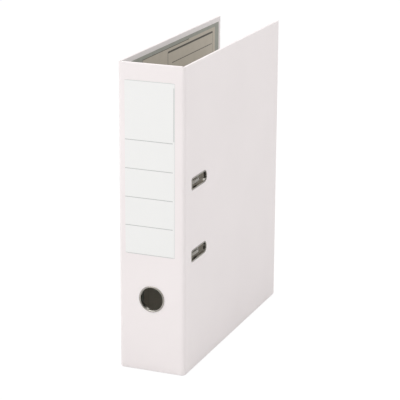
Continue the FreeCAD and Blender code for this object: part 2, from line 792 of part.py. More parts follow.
# ---- mechanism: lever, roller, spring ------------------------------------------------
def make_lever():
    lever = new_body("lever")
    roof = pivot_x + lever_roof
    handle = roof - lever_drop
    end_z = pivot_z - lever_reach
    skin = lever_sheet
    shift = skin * 0.4  # keeps the sheet's thickness through the slope
    lip = skin * 0.6
    handle_z = pivot_z - lever_shoulder - lever_ramp
    curl_z = end_z + lever_curl + skin * 0.7
    under_bend = lever_bend + 1
    profile = new_sketch(lever, "XZ_Plane", -crank_y)
    draw_outline(
        profile,
        [
            (roof, pivot_z + lever_nose),
            (roof - skin, pivot_z + lever_nose),
            (roof - skin, pivot_z - lever_shoulder + shift),
            (handle - skin, handle_z + shift, under_bend),
            (handle - skin, curl_z, under_bend),
            (handle - skin + lever_curl, end_z, skin * 0.8),
            (handle + lever_curl, end_z + lip),
            (handle, curl_z + shift, lever_bend),
            (handle, handle_z, lever_bend),
            (roof, pivot_z - lever_shoulder, lever_bend),
        ],
    )
    pad(lever, profile, lever_width, middle=True)

    paddle = new_sketch(lever, "YZ_Plane", handle - skin)
    half = paddle_width / 2
    low = end_z + paddle_start
    high = low + paddle_length
    draw_outline(paddle, rectangle(crank_y - half, low, crank_y + half, high, paddle_round))
    pad(lever, paddle, skin)

    for outer_depth in (-crank_y + lever_width / 2, -crank_y - lever_width / 2 + skin):
        cheek = new_sketch(lever, "XZ_Plane", outer_depth - skin)
        draw_outline(
            cheek,
            [
                (roof, pivot_z + lever_nose, cheek_round * 0.6),
                (roof, pivot_z - cheek_length),
                (roof - cheek_margin, pivot_z - cheek_length),
                (roller_x - cheek_margin, roller_z - cheek_margin, cheek_round),
                (roller_x - cheek_margin, roller_z + cheek_margin, cheek_round),
                (pivot_x - cheek_round, pivot_z + lever_nose, cheek_round * 0.8),
            ],
        )
        draw_circle(cheek, pivot_x, pivot_z, pin_radius + running_gap)
        draw_circle(cheek, roller_x, roller_z, roller_pin_radius + seat_gap)
        pad(lever, cheek, skin)


def make_pins_and_roller():
    half = lever_width / 2 + lever_gap + ear_thick
    head = pin_head
    lever_pin = turned(
        "lever_pin",
        [
            (0.0, -half - head),
            (pin_radius + head, -half - head, head * 0.6),
            (pin_radius + head, -half),
            (pin_radius, -half),
            (pin_radius, half),
            (pin_radius + head, half),
            (pin_radius + head, half + head, head * 0.6),
            (0.0, half + head),
        ],
    )
    place(lever_pin, pivot_x, crank_y, pivot_z, TO_FORE)
    roller_half = lever_width / 2 - lever_sheet - side_gap
    roller = turned(
        "roller",
        [
            (roller_pin_radius + running_gap, -roller_half),
            (roller_radius, -roller_half, roller_edge),
            (roller_radius, roller_half, roller_edge),
            (roller_pin_radius + running_gap, roller_half),
        ],
    )
    place(roller, roller_x, crank_y, roller_z, TO_FORE)
    pin_half = (lever_width + lever_gap) / 2
    roller_pin = turned("roller_pin", rectangle(0.0, -pin_half, roller_pin_radius, pin_half))
    place(roller_pin, roller_x, crank_y, roller_z, TO_FORE)


def make_leaf_spring():
    """Leaf riveted beside the posts that lifts the crank when the lever lets it go."""
    leaf = new_body("leaf_spring")
    low_z = crank_z - leaf_behind - leaf_width / 2
    high_z = crank_z - leaf_behind + leaf_width / 2
    near = crank_y - leaf_overhang
    far = post_y + plate_margin - leaf_inset
    rivet_y = far - leaf_rivet_inset
    rivet_z = crank_z - leaf_behind
    strip = new_sketch(leaf, "YZ_Plane", plate_top)
    draw_outline(strip, rectangle(near, low_z, far, high_z, leaf_round))
    draw_circle(strip, rivet_y, rivet_z, leaf_rivet)
    pad(leaf, strip, leaf_thick)
    head_top = leaf_thick + leaf_rivet_proud
    rivet = turned(
        "spring_rivet",
        [
            (0.0, 0.0),
            (leaf_rivet - seat_gap, 0.0),
            (leaf_rivet - seat_gap, leaf_thick),
            (leaf_rivet_head, leaf_thick),
            (leaf_rivet_head, head_top, leaf_rivet_proud * 0.75),
            (0.0, head_top),
        ],
    )
    place(rivet, plate_top, rivet_y, rivet_z, TO_FRONT)


# ---- mechanism: compressor ------------------------------------------------------------
CATCHES = {"lower": (lower_z, -1), "upper": (upper_z, 1)}  # post's height, way out


def make_compressor_bar():
    bar = new_body("compressor_bar")
    near = post_y - bar_width / 2
    far = post_y + bar_width / 2
    web = new_sketch(bar, "YZ_Plane", bar_x)
    draw_outline(web, rectangle(near, bar_low, far, bar_high, bar_round))
    for z in (lower_z, upper_z):
        draw_circle(web, post_y, z, hole_radius)
    pad(bar, web, bar_thick)
    sides = new_sketch(bar, "YZ_Plane", bar_x + bar_thick - OVERLAP)
    ends = bar_round + 1
    draw_outline(sides, rectangle(near, bar_low + ends, near + bar_thick, bar_high - ends))
    draw_outline(sides, rectangle(far - bar_thick, bar_low + ends, far, bar_high - ends))
    pad(bar, sides, bar_flange + OVERLAP)
    for post_z, out in CATCHES.values():
        hinge_z = post_z - out * catch_inner
        for side_y in (near, far - bar_thick):
            ear = new_sketch(bar, "XZ_Plane", -side_y - bar_thick)
            top = catch_hinge_x + catch_ear
            draw_outline(
                ear,
                [
                    (bar_x + OVERLAP, hinge_z - catch_ear),
                    (top, hinge_z - catch_ear, catch_ear * 0.9),
                    (top, hinge_z + catch_ear, catch_ear * 0.9),
                    (bar_x + OVERLAP, hinge_z + catch_ear),
                ],
            )
            pad(bar, ear, bar_thick)
        eye = new_sketch(bar, "XZ_Plane", -post_y)
        draw_circle(eye, catch_hinge_x, hinge_z, catch_pin + seat_gap)
        pocket(bar, eye)


def make_catch(name, post_z, out):
    """Spring catch on the compressor bar; out is +1 towards the top, -1 towards the base."""
    catch = new_body(f"catch_{name}")
    low_x = catch_x
    half = catch_width / 2
    inner = post_z - out * catch_inner
    outer = post_z + out * catch_outer
    low_z, high_z = (inner, outer) if out > 0 else (outer, inner)
    plate = new_sketch(catch, "YZ_Plane", low_x)
    draw_outline(plate, rectangle(post_y - half, low_z, post_y + half, high_z, catch_round))
    left, right = post_y - hole_radius, post_y + hole_radius
    half_length = wire_radius + catch_slot
    below, above = post_z - half_length, post_z + half_length
    draw_outline(plate, rectangle(left, below, right, above, catch_slot_round))
    pad(catch, plate, catch_thick)
    tab = new_sketch(catch, "YZ_Plane", low_x + catch_thick - OVERLAP)
    tab_low = high_z - catch_thick if out > 0 else low_z
    tab_half = half - tab_inset
    tab_high = tab_low + catch_thick
    draw_outline(tab, rectangle(post_y - tab_half, tab_low, post_y + tab_half, tab_high))
    pad(catch, tab, catch_tab + OVERLAP)
    curl = new_sketch(catch, "XZ_Plane", -post_y)
    draw_circle(curl, catch_hinge_x, inner, catch_curl)
    pad(catch, curl, catch_width, middle=True)
    eye = new_sketch(catch, "XZ_Plane", -post_y)
    draw_circle(eye, catch_hinge_x, inner, catch_pin + running_gap)
    pocket(catch, eye)

    pin_half = bar_width / 2
    pin = turned(
        f"catch_pin_{name}",
        rectangle(0.0, -pin_half, catch_pin, pin_half),
    )
    place(pin, catch_hinge_x, post_y, inner, TO_FORE)


make_cover("rear")
make_cover("front")
make_spine()
make_index_sheet()
make_hinge_strip("rear")
make_hinge_strip("front")
make_finger_ring()
for place_name, slot_z in (("lower", lower_z), ("upper", upper_z)):
    make_slot_eyelet(place_name, slot_z)
make_base_plate()
make_post("lower", lower_z)
make_post("upper", upper_z)
loose_rivets = make_case_rivets()
make_arch_wire()
make_lever()
make_pins_and_roller()
make_leaf_spring()
make_compressor_bar()
for place_name, (catch_z, way_out) in CATCHES.items():
    make_catch(place_name, catch_z, way_out)

# ---- check and write -------------------------------------------------------------------
doc.recompute()
for item in doc.Objects:
    if "Invalid" in item.State or "Error" in item.State:
        raise RuntimeError(f"{item.Label} failed: {item.State}")

SUB_PARTS = ("PartDesign::Body", "Part::Cut", "Part::MultiFuse", "Part::Compound")
os.makedirs("parts", exist_ok=True)
for item in doc.Objects:
    if item.TypeId not in SUB_PARTS or item.Label in loose_rivets:
        continue
    shape = item.Shape
    if shape.isNull() or not shape.isValid() or not shape.Solids:
        raise RuntimeError(f"{item.Label} has no valid solid")
    shape.exportStep(f"parts/{item.Label}.step")
    print(f"{item.Label}: {shape.Volume:.1f} mm3, {len(shape.Solids)} solid(s)")
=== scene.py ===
# %% [markdown]
# # Lever arch file
# This file is a stiff board case: two covers and a spine, wrapped in a thin pale film, with a
# lever mechanism riveted inside the rear cover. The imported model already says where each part
# is and how it moves. Here every visible part gets its fine shape and its finish. We load the
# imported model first, because all places below are read from it.

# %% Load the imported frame
import math

import bmesh
import bpy
from mathutils import Matrix, Vector


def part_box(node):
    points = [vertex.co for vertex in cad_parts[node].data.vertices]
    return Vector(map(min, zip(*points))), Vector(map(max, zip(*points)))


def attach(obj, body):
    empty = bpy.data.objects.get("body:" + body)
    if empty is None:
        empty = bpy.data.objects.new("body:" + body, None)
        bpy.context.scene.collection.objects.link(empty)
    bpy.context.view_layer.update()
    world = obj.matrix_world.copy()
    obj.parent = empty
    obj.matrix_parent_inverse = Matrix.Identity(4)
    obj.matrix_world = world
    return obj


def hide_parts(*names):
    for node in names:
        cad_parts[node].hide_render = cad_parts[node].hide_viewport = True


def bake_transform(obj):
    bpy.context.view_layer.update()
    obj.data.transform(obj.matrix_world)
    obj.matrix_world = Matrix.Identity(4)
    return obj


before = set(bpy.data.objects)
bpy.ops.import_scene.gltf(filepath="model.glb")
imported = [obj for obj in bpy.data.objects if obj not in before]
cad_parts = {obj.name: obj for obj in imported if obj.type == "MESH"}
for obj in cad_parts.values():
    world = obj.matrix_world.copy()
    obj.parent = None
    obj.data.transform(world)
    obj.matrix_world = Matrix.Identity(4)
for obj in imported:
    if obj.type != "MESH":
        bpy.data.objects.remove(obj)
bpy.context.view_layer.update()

MM = 0.001

# %% [markdown]
# A few faces of the case are used again and again: the outer faces of the two covers and the
# spine, the fore edge, the top, and the line where a cover's board starts beside the spine.
# They could be typed in, but reading them from the frame keeps this script right if the
# case is ever made wider or taller.

# %% Read the case's own faces
front_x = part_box("front_covering")[1].x
rear_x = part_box("rear_covering")[0].x
spine_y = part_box("spine_covering")[0].y
panel_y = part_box("front_covering")[0].y
fore_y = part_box("front_covering")[1].y
top_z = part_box("front_covering")[1].z
corner_radius = panel_y - spine_y
panel_x = front_x - corner_radius
turn_in = fore_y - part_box("front_lining")[1].y
inner_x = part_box("front_lining")[0].x
print(f"case {front_x * 2 / MM:.0f} x {(fore_y - spine_y) / MM:.0f} x {top_z / MM:.0f} mm")

# %% [markdown]
# ## Camera
# The case is seen from the front right and a little above, with a long lens so that its
# uprights stay nearly parallel. The camera is placed by its position and three turns: yaw
# round the upright, pitch down, and a trace of roll.

# %% Place the camera
CAMERA_PLACE = (0.678, -1.683, 0.696)
CAMERA_TURNS = (22.02, 16.61, 0.318)  # yaw, pitch and roll in degrees
camera_data = bpy.data.cameras.new("camera")
camera_data.lens = 150
camera_data.sensor_width = 36
camera = bpy.data.objects.new("camera", camera_data)
bpy.context.collection.objects.link(camera)
yaw, pitch, roll = (math.radians(a) for a in CAMERA_TURNS)
turn = Matrix.Rotation(yaw, 4, "Z") @ Matrix.Rotation(math.pi / 2 - pitch, 4, "X")
turn = turn @ Matrix.Rotation(roll, 4, "Z")
camera.matrix_world = Matrix.Translation(CAMERA_PLACE) @ turn
bpy.context.scene.camera = camera

# %% [markdown]
# ## Light
# A white room gives soft light, as a product table does, and most of it comes from above.
# A large lamp on the spine's side makes the spine a little brighter than the front cover,
# so the two faces read apart. A second lamp looks down into the open mouth, and a weak one
# stands at the fore edge. The plain view transform keeps whites white.
#
# Three things are bent from a plain white room on purpose. The camera sees pure white
# behind the case, whatever the room's light. The room is dim in front. And a black card,
# high on the right, shows only in reflections: it draws a darker edge in shiny metal.

# %% Light the scene
ROOM_LOW, ROOM_HIGH = 0.27, 1.75  # the room's strength from below and from overhead
FRONT_WAY = Vector((0.38, -0.88, 0.20)).normalized()
CARD_WAY = Vector((0.64, 0.04, 0.75)).normalized()


def room_range(value, low, high, to_low, to_high):
    """A Map Range node in the room's tree; gives its output."""
    node = room.nodes.new("ShaderNodeMapRange")
    room.links.new(value, node.inputs["Value"])
    for label, number in (
        ("From Min", low), ("From Max", high), ("To Min", to_low), ("To Max", to_high),
    ):
        node.inputs[label].default_value = number
    return node.outputs[0]


def room_calc(operation, *values):
    """A Math node in the room's tree; gives its output."""
    node = room.nodes.new("ShaderNodeMath")
    node.operation = operation
    for place, value in enumerate(values):
        if isinstance(value, float):
            node.inputs[place].default_value = value
        else:
            room.links.new(value, node.inputs[place])
    return node.outputs[0]


def nearness(way):
    """How nearly a direction points the given way: 1 when it does."""
    node = room.nodes.new("ShaderNodeVectorMath")
    node.operation = "DOT_PRODUCT"
    room.links.new(heading, node.inputs[0])
    node.inputs[1].default_value = way
    return node.outputs["Value"]


bpy.context.scene.view_settings.view_transform = "Standard"
world = bpy.data.worlds.new("white_room")
world.use_nodes = True
bpy.context.scene.world = world
room = world.node_tree
seen = room.nodes["Background"]
seen.inputs["Color"].default_value = (1, 1, 1, 1)
seen.inputs["Strength"].default_value = 1.0
heading = room.nodes.new("ShaderNodeTexCoord").outputs["Generated"]
split = room.nodes.new("ShaderNodeSeparateXYZ")
room.links.new(heading, split.inputs[0])
path = room.nodes.new("ShaderNodeLightPath")
upward = room_range(split.outputs["Z"], -0.2, 1.0, ROOM_LOW, ROOM_HIGH)
dim = room_range(nearness(FRONT_WAY), 0.84, 0.95, 1.0, 0.12)
card = room_range(nearness(CARD_WAY), 0.86, 0.94, 0.0, -0.95)
card_share = room_calc("MULTIPLY_ADD", card, path.outputs["Is Glossy Ray"], 1.0)
lighting = room.nodes.new("ShaderNodeBackground")
room.links.new(
    room_calc("MULTIPLY", room_calc("MULTIPLY", upward, dim), card_share),
    lighting.inputs["Strength"],
)
ray = path.outputs["Is Camera Ray"]
choose = room.nodes.new("ShaderNodeMixShader")
room.links.new(ray, choose.inputs[0])
room.links.new(lighting.outputs[0], choose.inputs[1])
room.links.new(seen.outputs[0], choose.inputs[2])
room.links.new(choose.outputs[0], room.nodes["World Output"].inputs["Surface"])


def soft_lamp(name, place, width, power, aim=(0, 0, 0.17)):
    data = bpy.data.lights.new(name, "AREA")
    data.shape = "SQUARE"
    data.size = width
    data.energy = power
    lamp = bpy.data.objects.new(name, data)
    bpy.context.collection.objects.link(lamp)
    direction = Vector(aim) - Vector(place)
    turn = direction.to_track_quat("-Z", "Y").to_matrix().to_4x4()
    lamp.matrix_world = Matrix.Translation(place) @ turn
    return lamp


soft_lamp("key_lamp", (-0.9, -1.9, 1.1), 1.1, 17.6)
mouth_lamp = soft_lamp("mouth_lamp", (1.1, 0.1, 1.5), 0.8, 6.7)
mouth_lamp.visible_glossy = False  # it lights the mouth, but isn't mirrored in the metal
soft_lamp("fore_lamp", (0.55, 1.6, 0.45), 0.7, 0.4, (0.0, 0.05, 0.15))

# %% [markdown]
# ## Node helpers
# Every finish below is a small tree of nodes. Writing `link` lines by hand is long, so
# `add_node` takes values and sockets alike: a plain value is typed into the input, a socket
# is linked to it. `new_group` makes a shader group with named inputs and outputs.


# %% Helpers for node trees
def add_node(tree, kind, values=None, **settings):
    made = tree.nodes.new(kind)
    for key, value in settings.items():
        setattr(made, key, value)
    for key, value in (values or {}).items():
        if isinstance(value, bpy.types.NodeSocket):
            tree.links.new(value, made.inputs[key])
        else:
            made.inputs[key].default_value = value
    return made


def calc(tree, operation, *values):
    """A Math node of plain numbers or sockets; gives its output."""
    numbered = dict(enumerate(values))
    return add_node(tree, "ShaderNodeMath", numbered, operation=operation).outputs[0]


def new_group(name, inputs, outputs):
    """An empty shader group; inputs are {name: default}, outputs are names."""
    tree = bpy.data.node_groups.new(name, "ShaderNodeTree")
    for label, default in inputs.items():
        socket = tree.interface.new_socket(label, in_out="INPUT", socket_type="NodeSocketFloat")
        socket.default_value = default
    for label in outputs:
        tree.interface.new_socket(label, in_out="OUTPUT", socket_type="NodeSocketFloat")
    return tree, tree.nodes.new("NodeGroupInput"), tree.nodes.new("NodeGroupOutput")


def use_group(tree, name, values=None):
    """Place a group in a tree with its own values."""
    made = tree.nodes.new("ShaderNodeGroup")
    made.node_tree = bpy.data.node_groups[name]
    for key, value in (values or {}).items():
        if isinstance(value, bpy.types.NodeSocket):
            tree.links.new(value, made.inputs[key])
        else:
            made.inputs[key].default_value = value
    return made.outputs


# %% [markdown]
# ### Film grain
# The case's film is rolled with a very fine, shallow grain and has broad, faint waves where
# it is glued to the board. Two noises at different scales do this: one small for the
# grain, one large for the waves. Covers, spine and corner strips all use it.

# %% Group: film grain
tree, given, result = new_group(
    "film_grain", {"Grain Scale": 2600, "Wave Scale": 16, "Wave Share": 0.5}, ["Height", "Tone"]
)
place = add_node(tree, "ShaderNodeTexCoord").outputs["Object"]
grain = add_node(
    tree, "ShaderNodeTexNoise",
    {"Vector": place, "Scale": given.outputs["Grain Scale"], "Detail": 3, "Roughness": 0.6},
)
waves = add_node(
    tree, "ShaderNodeTexNoise",
    {"Vector": place, "Scale": given.outputs["Wave Scale"], "Detail": 2, "Roughness": 0.4},
)
wave_height = calc(tree, "MULTIPLY", waves.outputs[0], given.outputs["Wave Share"])
height = calc(tree, "ADD", grain.outputs[0], wave_height)
tree.links.new(height, result.inputs["Height"])
tree.links.new(waves.outputs[0], result.inputs["Tone"])

# %% [markdown]
# ### Paper fibre
# Lining, label, index sheet and board are all paper. Up close paper shows short fibres
# lying mostly one way, and further off a soft cloudiness. Stretching the noise along one
# axis gives the fibres.

# %% Group: paper fibre
tree, given, result = new_group(
    "paper_fibre", {"Fibre Scale": 1400, "Cloud Scale": 90}, ["Height", "Cloud"]
)
place = add_node(tree, "ShaderNodeTexCoord").outputs["Object"]
stretched = add_node(
    tree, "ShaderNodeMapping", {"Vector": place, "Scale": (1.0, 1.0, 0.28)}
)
fibres = add_node(
    tree, "ShaderNodeTexNoise",
    {"Vector": stretched.outputs[0], "Scale": given.outputs["Fibre Scale"], "Detail": 5,
     "Roughness": 0.65},
)
cloud = add_node(
    tree, "ShaderNodeTexNoise",
    {"Vector": place, "Scale": given.outputs["Cloud Scale"], "Detail": 4, "Roughness": 0.6},
)
tree.links.new(fibres.outputs[0], result.inputs["Height"])
tree.links.new(cloud.outputs[0], result.inputs["Cloud"])

# %% [markdown]
# ### Rolled metal
# Plated sheet keeps faint lines from the rolling mill, all one way, and a slight unevenness
# of shine. A noise squeezed hard along one axis draws the lines. The same group serves the
# ring, plate, lever, wire and pins with different strengths.

# %% Group: rolled metal
tree, given, result = new_group(
    "rolled_metal", {"Line Scale": 900, "Line Stretch": 0.04, "Cloud Scale": 120},
    ["Height", "Cloud"],
)
place = add_node(tree, "ShaderNodeTexCoord").outputs["Object"]
squeeze = add_node(
    tree, "ShaderNodeCombineXYZ", {"X": 1.0, "Y": 1.0, "Z": given.outputs["Line Stretch"]}
)
lines = add_node(
    tree, "ShaderNodeTexNoise",
    {"Vector": add_node(
        tree, "ShaderNodeVectorMath", {0: place, 1: squeeze.outputs[0]}, operation="MULTIPLY"
    ).outputs[0], "Scale": given.outputs["Line Scale"], "Detail": 3, "Roughness": 0.7},
)
cloud = add_node(
    tree, "ShaderNodeTexNoise",
    {"Vector": place, "Scale": given.outputs["Cloud Scale"], "Detail": 3, "Roughness": 0.55},
)
tree.links.new(lines.outputs[0], result.inputs["Height"])
tree.links.new(cloud.outputs[0], result.inputs["Cloud"])

# %% [markdown]
# ### Shelf wear
# A file is pushed in and out of a shelf on its bottom edges, so dust and scuffs gather
# there and fade upward. The mask is strong at the foot, weaker at the top, and broken up by
# noise so that it never looks like a painted band.

# %% Group: shelf wear
tree, given, result = new_group(
    "shelf_wear", {"Foot Reach": 0.02, "Top": 0.34, "Amount": 1.0}, ["Mask"]
)
place = add_node(tree, "ShaderNodeTexCoord").outputs["Object"]
upward = add_node(tree, "ShaderNodeSeparateXYZ", {0: place}).outputs["Z"]
from_foot = calc(tree, "DIVIDE", upward, given.outputs["Foot Reach"])
foot = calc(tree, "SUBTRACT", 1.0, calc(tree, "MINIMUM", from_foot, 1.0))
from_top = calc(tree, "SUBTRACT", given.outputs["Top"], upward)
half_reach = calc(tree, "MULTIPLY", given.outputs["Foot Reach"], 0.5)
top_share = calc(tree, "DIVIDE", from_top, half_reach)
crown = calc(tree, "SUBTRACT", 1.0, calc(tree, "MINIMUM", top_share, 1.0))
near_edge = calc(tree, "MAXIMUM", foot, calc(tree, "MULTIPLY", crown, 0.4))
scuff = add_node(
    tree, "ShaderNodeTexNoise", {"Vector": place, "Scale": 160, "Detail": 5, "Roughness": 0.7}
)
broken = add_node(
    tree, "ShaderNodeMapRange",
    {"Value": scuff.outputs[0], "From Min": 0.45, "From Max": 0.75},
).outputs[0]
worn = calc(tree, "MULTIPLY", near_edge, broken)
mask = calc(tree, "MULTIPLY", worn, given.outputs["Amount"])
tree.links.new(mask, result.inputs["Mask"])

# %% [markdown]
# ### Printed line and painted edge shadow
# The label is ruled into fields and the index sheet has a printed frame. The same lines also
# paint shadow along the edges of both sheets. Each line is the same idea: a mask that is 1
# within half a line's width of a place, and only between two ends. Drawn by the material, a
# line costs no geometry and stays sharp.

# %% Group: printed line and painted edge shadow
tree, given, result = new_group(
    "print_and_shadow_line",
    {"Across": 0, "Place": 0, "Half Width": 0.0002, "Along": 0, "From": -1, "To": 1},
    ["Mask"],
)
offset = calc(tree, "SUBTRACT", given.outputs["Across"], given.outputs["Place"])
away = calc(tree, "ABSOLUTE", offset)
on_line = calc(tree, "LESS_THAN", away, given.outputs["Half Width"])
after = calc(tree, "GREATER_THAN", given.outputs["Along"], given.outputs["From"])
before = calc(tree, "LESS_THAN", given.outputs["Along"], given.outputs["To"])
mask = calc(tree, "MULTIPLY", on_line, calc(tree, "MULTIPLY", after, before))
tree.links.new(mask, result.inputs["Mask"])


# %% [markdown]
# ## Finishes
# Each finish starts from the same few nodes: a Principled shader, a Bump node that reads a
# group's height, and a colour mixed from two tones by a mask. `new_finish` makes the shader
# and types its fixed numbers straight into it.


# %% Helpers for finishes
def new_finish(name, roughness=0.5, metallic=0.0, specular=0.5, **fixed):
    material = bpy.data.materials.new(name)
    material.use_nodes = True
    tree = material.node_tree
    shader = tree.nodes["Principled BSDF"]
    shader.inputs["Roughness"].default_value = roughness
    shader.inputs["Metallic"].default_value = metallic
    shader.inputs["Specular IOR Level"].default_value = specular
    for label, value in fixed.items():
        shader.inputs[label.replace("_", " ")].default_value = value
    return material, tree, shader


def rough_surface(tree, shader, height, strength, depth):
    """Bump from a group's height; depth in metres."""
    bump = add_node(
        tree, "ShaderNodeBump", {"Height": height, "Strength": strength, "Distance": depth}
    )
    tree.links.new(bump.outputs[0], shader.inputs["Normal"])


def blend_tones(tree, mask, first, second):
    """Mix two colours, each a tuple or a socket, by a mask."""
    mix = add_node(tree, "ShaderNodeMix", data_type="RGBA")
    for key, value in ((0, mask), (6, first), (7, second)):
        if isinstance(value, bpy.types.NodeSocket):
            tree.links.new(value, mix.inputs[key])
        else:
            mix.inputs[key].default_value = value if key == 0 else (*value, 1)
    return mix.outputs[2]


def spread(tree, value, low, high, to_low=0.0, to_high=1.0):
    """Stretch the part of a value between low and high over a new range."""
    made = add_node(
        tree, "ShaderNodeMapRange",
        {"Value": value, "From Min": low, "From Max": high,
         "To Min": to_low, "To Max": to_high},
    )
    return made.outputs[0]


finishes = {}

# %% [markdown]
# ### Covering film
# The case is wrapped in pale plastic film with a satin shine and a hint of warm pink in its
# white. The grain breaks up highlights; the waves vary the tone by about two parts in a
# hundred; wear greys the foot.

# %% Finish: covering film
FILM_TONE = (0.870, 0.815, 0.813)
FILM_SHADE = (0.850, 0.795, 0.793)
FILM_SCUFF = (0.62, 0.585, 0.57)
material, tree, shader = new_finish("covering_film", roughness=0.42, specular=0.4)
grain = use_group(tree, "film_grain")
wear = use_group(tree, "shelf_wear", {"Foot Reach": 0.006, "Top": top_z, "Amount": 0.35})
waves = spread(tree, grain["Tone"], 0.3, 0.7)
tone = blend_tones(tree, waves, FILM_SHADE, FILM_TONE)
tree.links.new(blend_tones(tree, wear["Mask"], tone, FILM_SCUFF), shader.inputs["Base Color"])
shine = spread(tree, grain["Tone"], 0.3, 0.7, 0.38, 0.46)
tree.links.new(calc(tree, "ADD", shine, wear["Mask"]), shader.inputs["Roughness"])
rough_surface(tree, shader, grain["Height"], 0.18, 0.00003)
finishes["covering_film"] = material

# %% [markdown]
# ### Lining, board and index sheet
# Inside, the boards are lined with a cool grey paper. The rear cover also carries a warm
# grey index sheet with a printed frame of two rules. The raw board is grey and fibrous and
# hardly seen.


# %% Finishes: lining paper and grey board
def paper_finish(name, light, dark, roughness, fibre=1400, depth=0.00003):
    material, tree, shader = new_finish(name, roughness=roughness, specular=0.25)
    paper = use_group(tree, "paper_fibre", {"Fibre Scale": fibre})
    cloud = spread(tree, paper["Cloud"], 0.3, 0.7)
    tone = blend_tones(tree, cloud, dark, light)
    speck = spread(tree, paper["Height"], 0.35, 0.75, 0.0, 0.22)
    darker = tuple(part * 0.72 for part in dark)
    toned = blend_tones(tree, speck, tone, darker)
    tree.links.new(toned, shader.inputs["Base Color"])
    rough_surface(tree, shader, paper["Height"], 0.5, depth)
    finishes[name] = material
    return tree, shader, toned


paper_finish("lining_paper", (0.395, 0.400, 0.358), (0.358, 0.363, 0.326), 0.75)
paper_finish("grey_board", (0.33, 0.31, 0.27), (0.25, 0.235, 0.205), 0.9, 700, 0.00008)


def ink_and_shadow_lines(tree, rules):
    """Sum of printed lines and painted edge shadows: (direction, place, half width, from, to,
    strength).
    """
    place = add_node(tree, "ShaderNodeTexCoord").outputs["Object"]
    axes = add_node(tree, "ShaderNodeSeparateXYZ", {0: place}).outputs
    total = None
    for across, along, where, half, start, end, strength in rules:
        line = use_group(
            tree, "print_and_shadow_line",
            {"Across": axes[across], "Place": where, "Half Width": half, "Along": axes[along],
             "From": start, "To": end},
        )
        part = calc(tree, "MULTIPLY", line["Mask"], strength)
        total = part if total is None else calc(tree, "MAXIMUM", total, part)
    return total


# %% [markdown]
# The index sheet's frame: a bold rule near its upper edge with a thinner one below, closed
# by uprights, and light rules for entries further down. The dark lines along the sheet's top
# edge near the spine and down its near edge are painted shadow of the sheet's edge.

# %% Finish: index paper
INDEX_INK_AND_SHADOW = (0.045, 0.045, 0.042)
index_low, index_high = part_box("index_sheet")
frame_left, frame_right = spine_y + 127 * MM, spine_y + 260.5 * MM
frame_top = top_z - 15 * MM
frame_foot = index_low.z + 12 * MM
index_ink_and_shadow = [
    ("Z", "Y", frame_top, 0.0011, frame_left, frame_right, 0.86),
    ("Z", "Y", top_z - 28.5 * MM, 0.0005, spine_y + 139 * MM, spine_y + 258 * MM, 0.72),
    ("Y", "Z", frame_left, 0.0006, frame_foot, frame_top, 0.72),
    ("Y", "Z", frame_right, 0.0004, frame_foot, frame_top, 0.5),
    ("Z", "Y", frame_foot, 0.0005, frame_left, frame_right, 0.6),
    ("Y", "Z", index_low.y + 14 * MM, 0.0003, frame_foot, frame_top, 0.4),
    # painted shadow: dark lines along the sheet's top edge near the spine and down its near
    # edge
    ("Z", "Y", index_high.z, 0.0008, index_low.y, index_low.y + 0.13, 0.75),
    ("Y", "Z", index_low.y, 0.0009, index_low.z, index_high.z, 0.55),
]
ENTRIES = 24
for entry in range(1, ENTRIES):
    level = frame_foot + (top_z - 28.5 * MM - frame_foot) * entry / ENTRIES
    index_ink_and_shadow.append(
        ("Z", "Y", level, 0.0002, spine_y + 139 * MM, spine_y + 258 * MM, 0.4)
    )
tree, shader, toned = paper_finish(
    "index_paper", (0.577, 0.521, 0.445), (0.549, 0.495, 0.419), 0.7
)
lines = ink_and_shadow_lines(tree, index_ink_and_shadow)
tree.links.new(blend_tones(tree, lines, toned, INDEX_INK_AND_SHADOW), shader.inputs["Base Color"])

# %% [markdown]
# ### Spine label
# A smooth white label sits on the spine, more neutral than the film. It has one tall field
# at the top and four low fields below, parted by thin grey rules, and a fine upright line
# near its right edge where it can be torn. Faint grey lines along its top edge and its right
# edge are painted shadow of the label's edge.

# %% Finish: label paper
label_low, label_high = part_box("spine_label")
FIRST_RULE = 257.5 * MM
FIELD = 31.3 * MM
LABEL_INK_AND_SHADOW = (0.20, 0.20, 0.20)
RULE_END = label_high.x - 2.4 * MM
TEAR_LINE = label_high.x - 1.2 * MM
TEAR_LOW, TEAR_HIGH = FIRST_RULE + 2 * MM, label_high.z - 5 * MM
label_ink_and_shadow = [
    ("Z", "X", FIRST_RULE - FIELD * step, 0.00036, label_low.x, RULE_END, 0.56)
    for step in range(4)
]
label_ink_and_shadow += [
    # painted shadow along the label's top edge
    ("Z", "X", label_high.z - 0.0004, 0.0004, label_low.x, label_high.x, 0.32),
    ("Z", "X", label_low.z + 0.0004, 0.0004, label_low.x, label_high.x, 0.42),
    ("X", "Z", TEAR_LINE, 0.0003, TEAR_LOW, TEAR_HIGH, 0.62),
    # painted shadow along the label's right edge
    ("X", "Z", label_high.x - 0.0003, 0.0003, label_low.z, label_high.z, 0.16),
]
tree, shader, toned = paper_finish(
    "label_paper", (0.846, 0.844, 0.832), (0.845, 0.843, 0.832), 0.5, 2200, 0.00001
)
speck_free = blend_tones(tree, 0.75, toned, (0.846, 0.844, 0.832))
lines = ink_and_shadow_lines(tree, label_ink_and_shadow)
tree.links.new(blend_tones(tree, lines, speck_free, LABEL_INK_AND_SHADOW), shader.inputs["Base Color"])


# %% [markdown]
# ### Metals and plastic
# Ring and slot rims are nickel, the plate and lever are zinc-plated steel, the arches are
# bright drawn wire, and the roller is pale hard plastic. They differ in tone, shine and how
# strongly the rolling lines show.


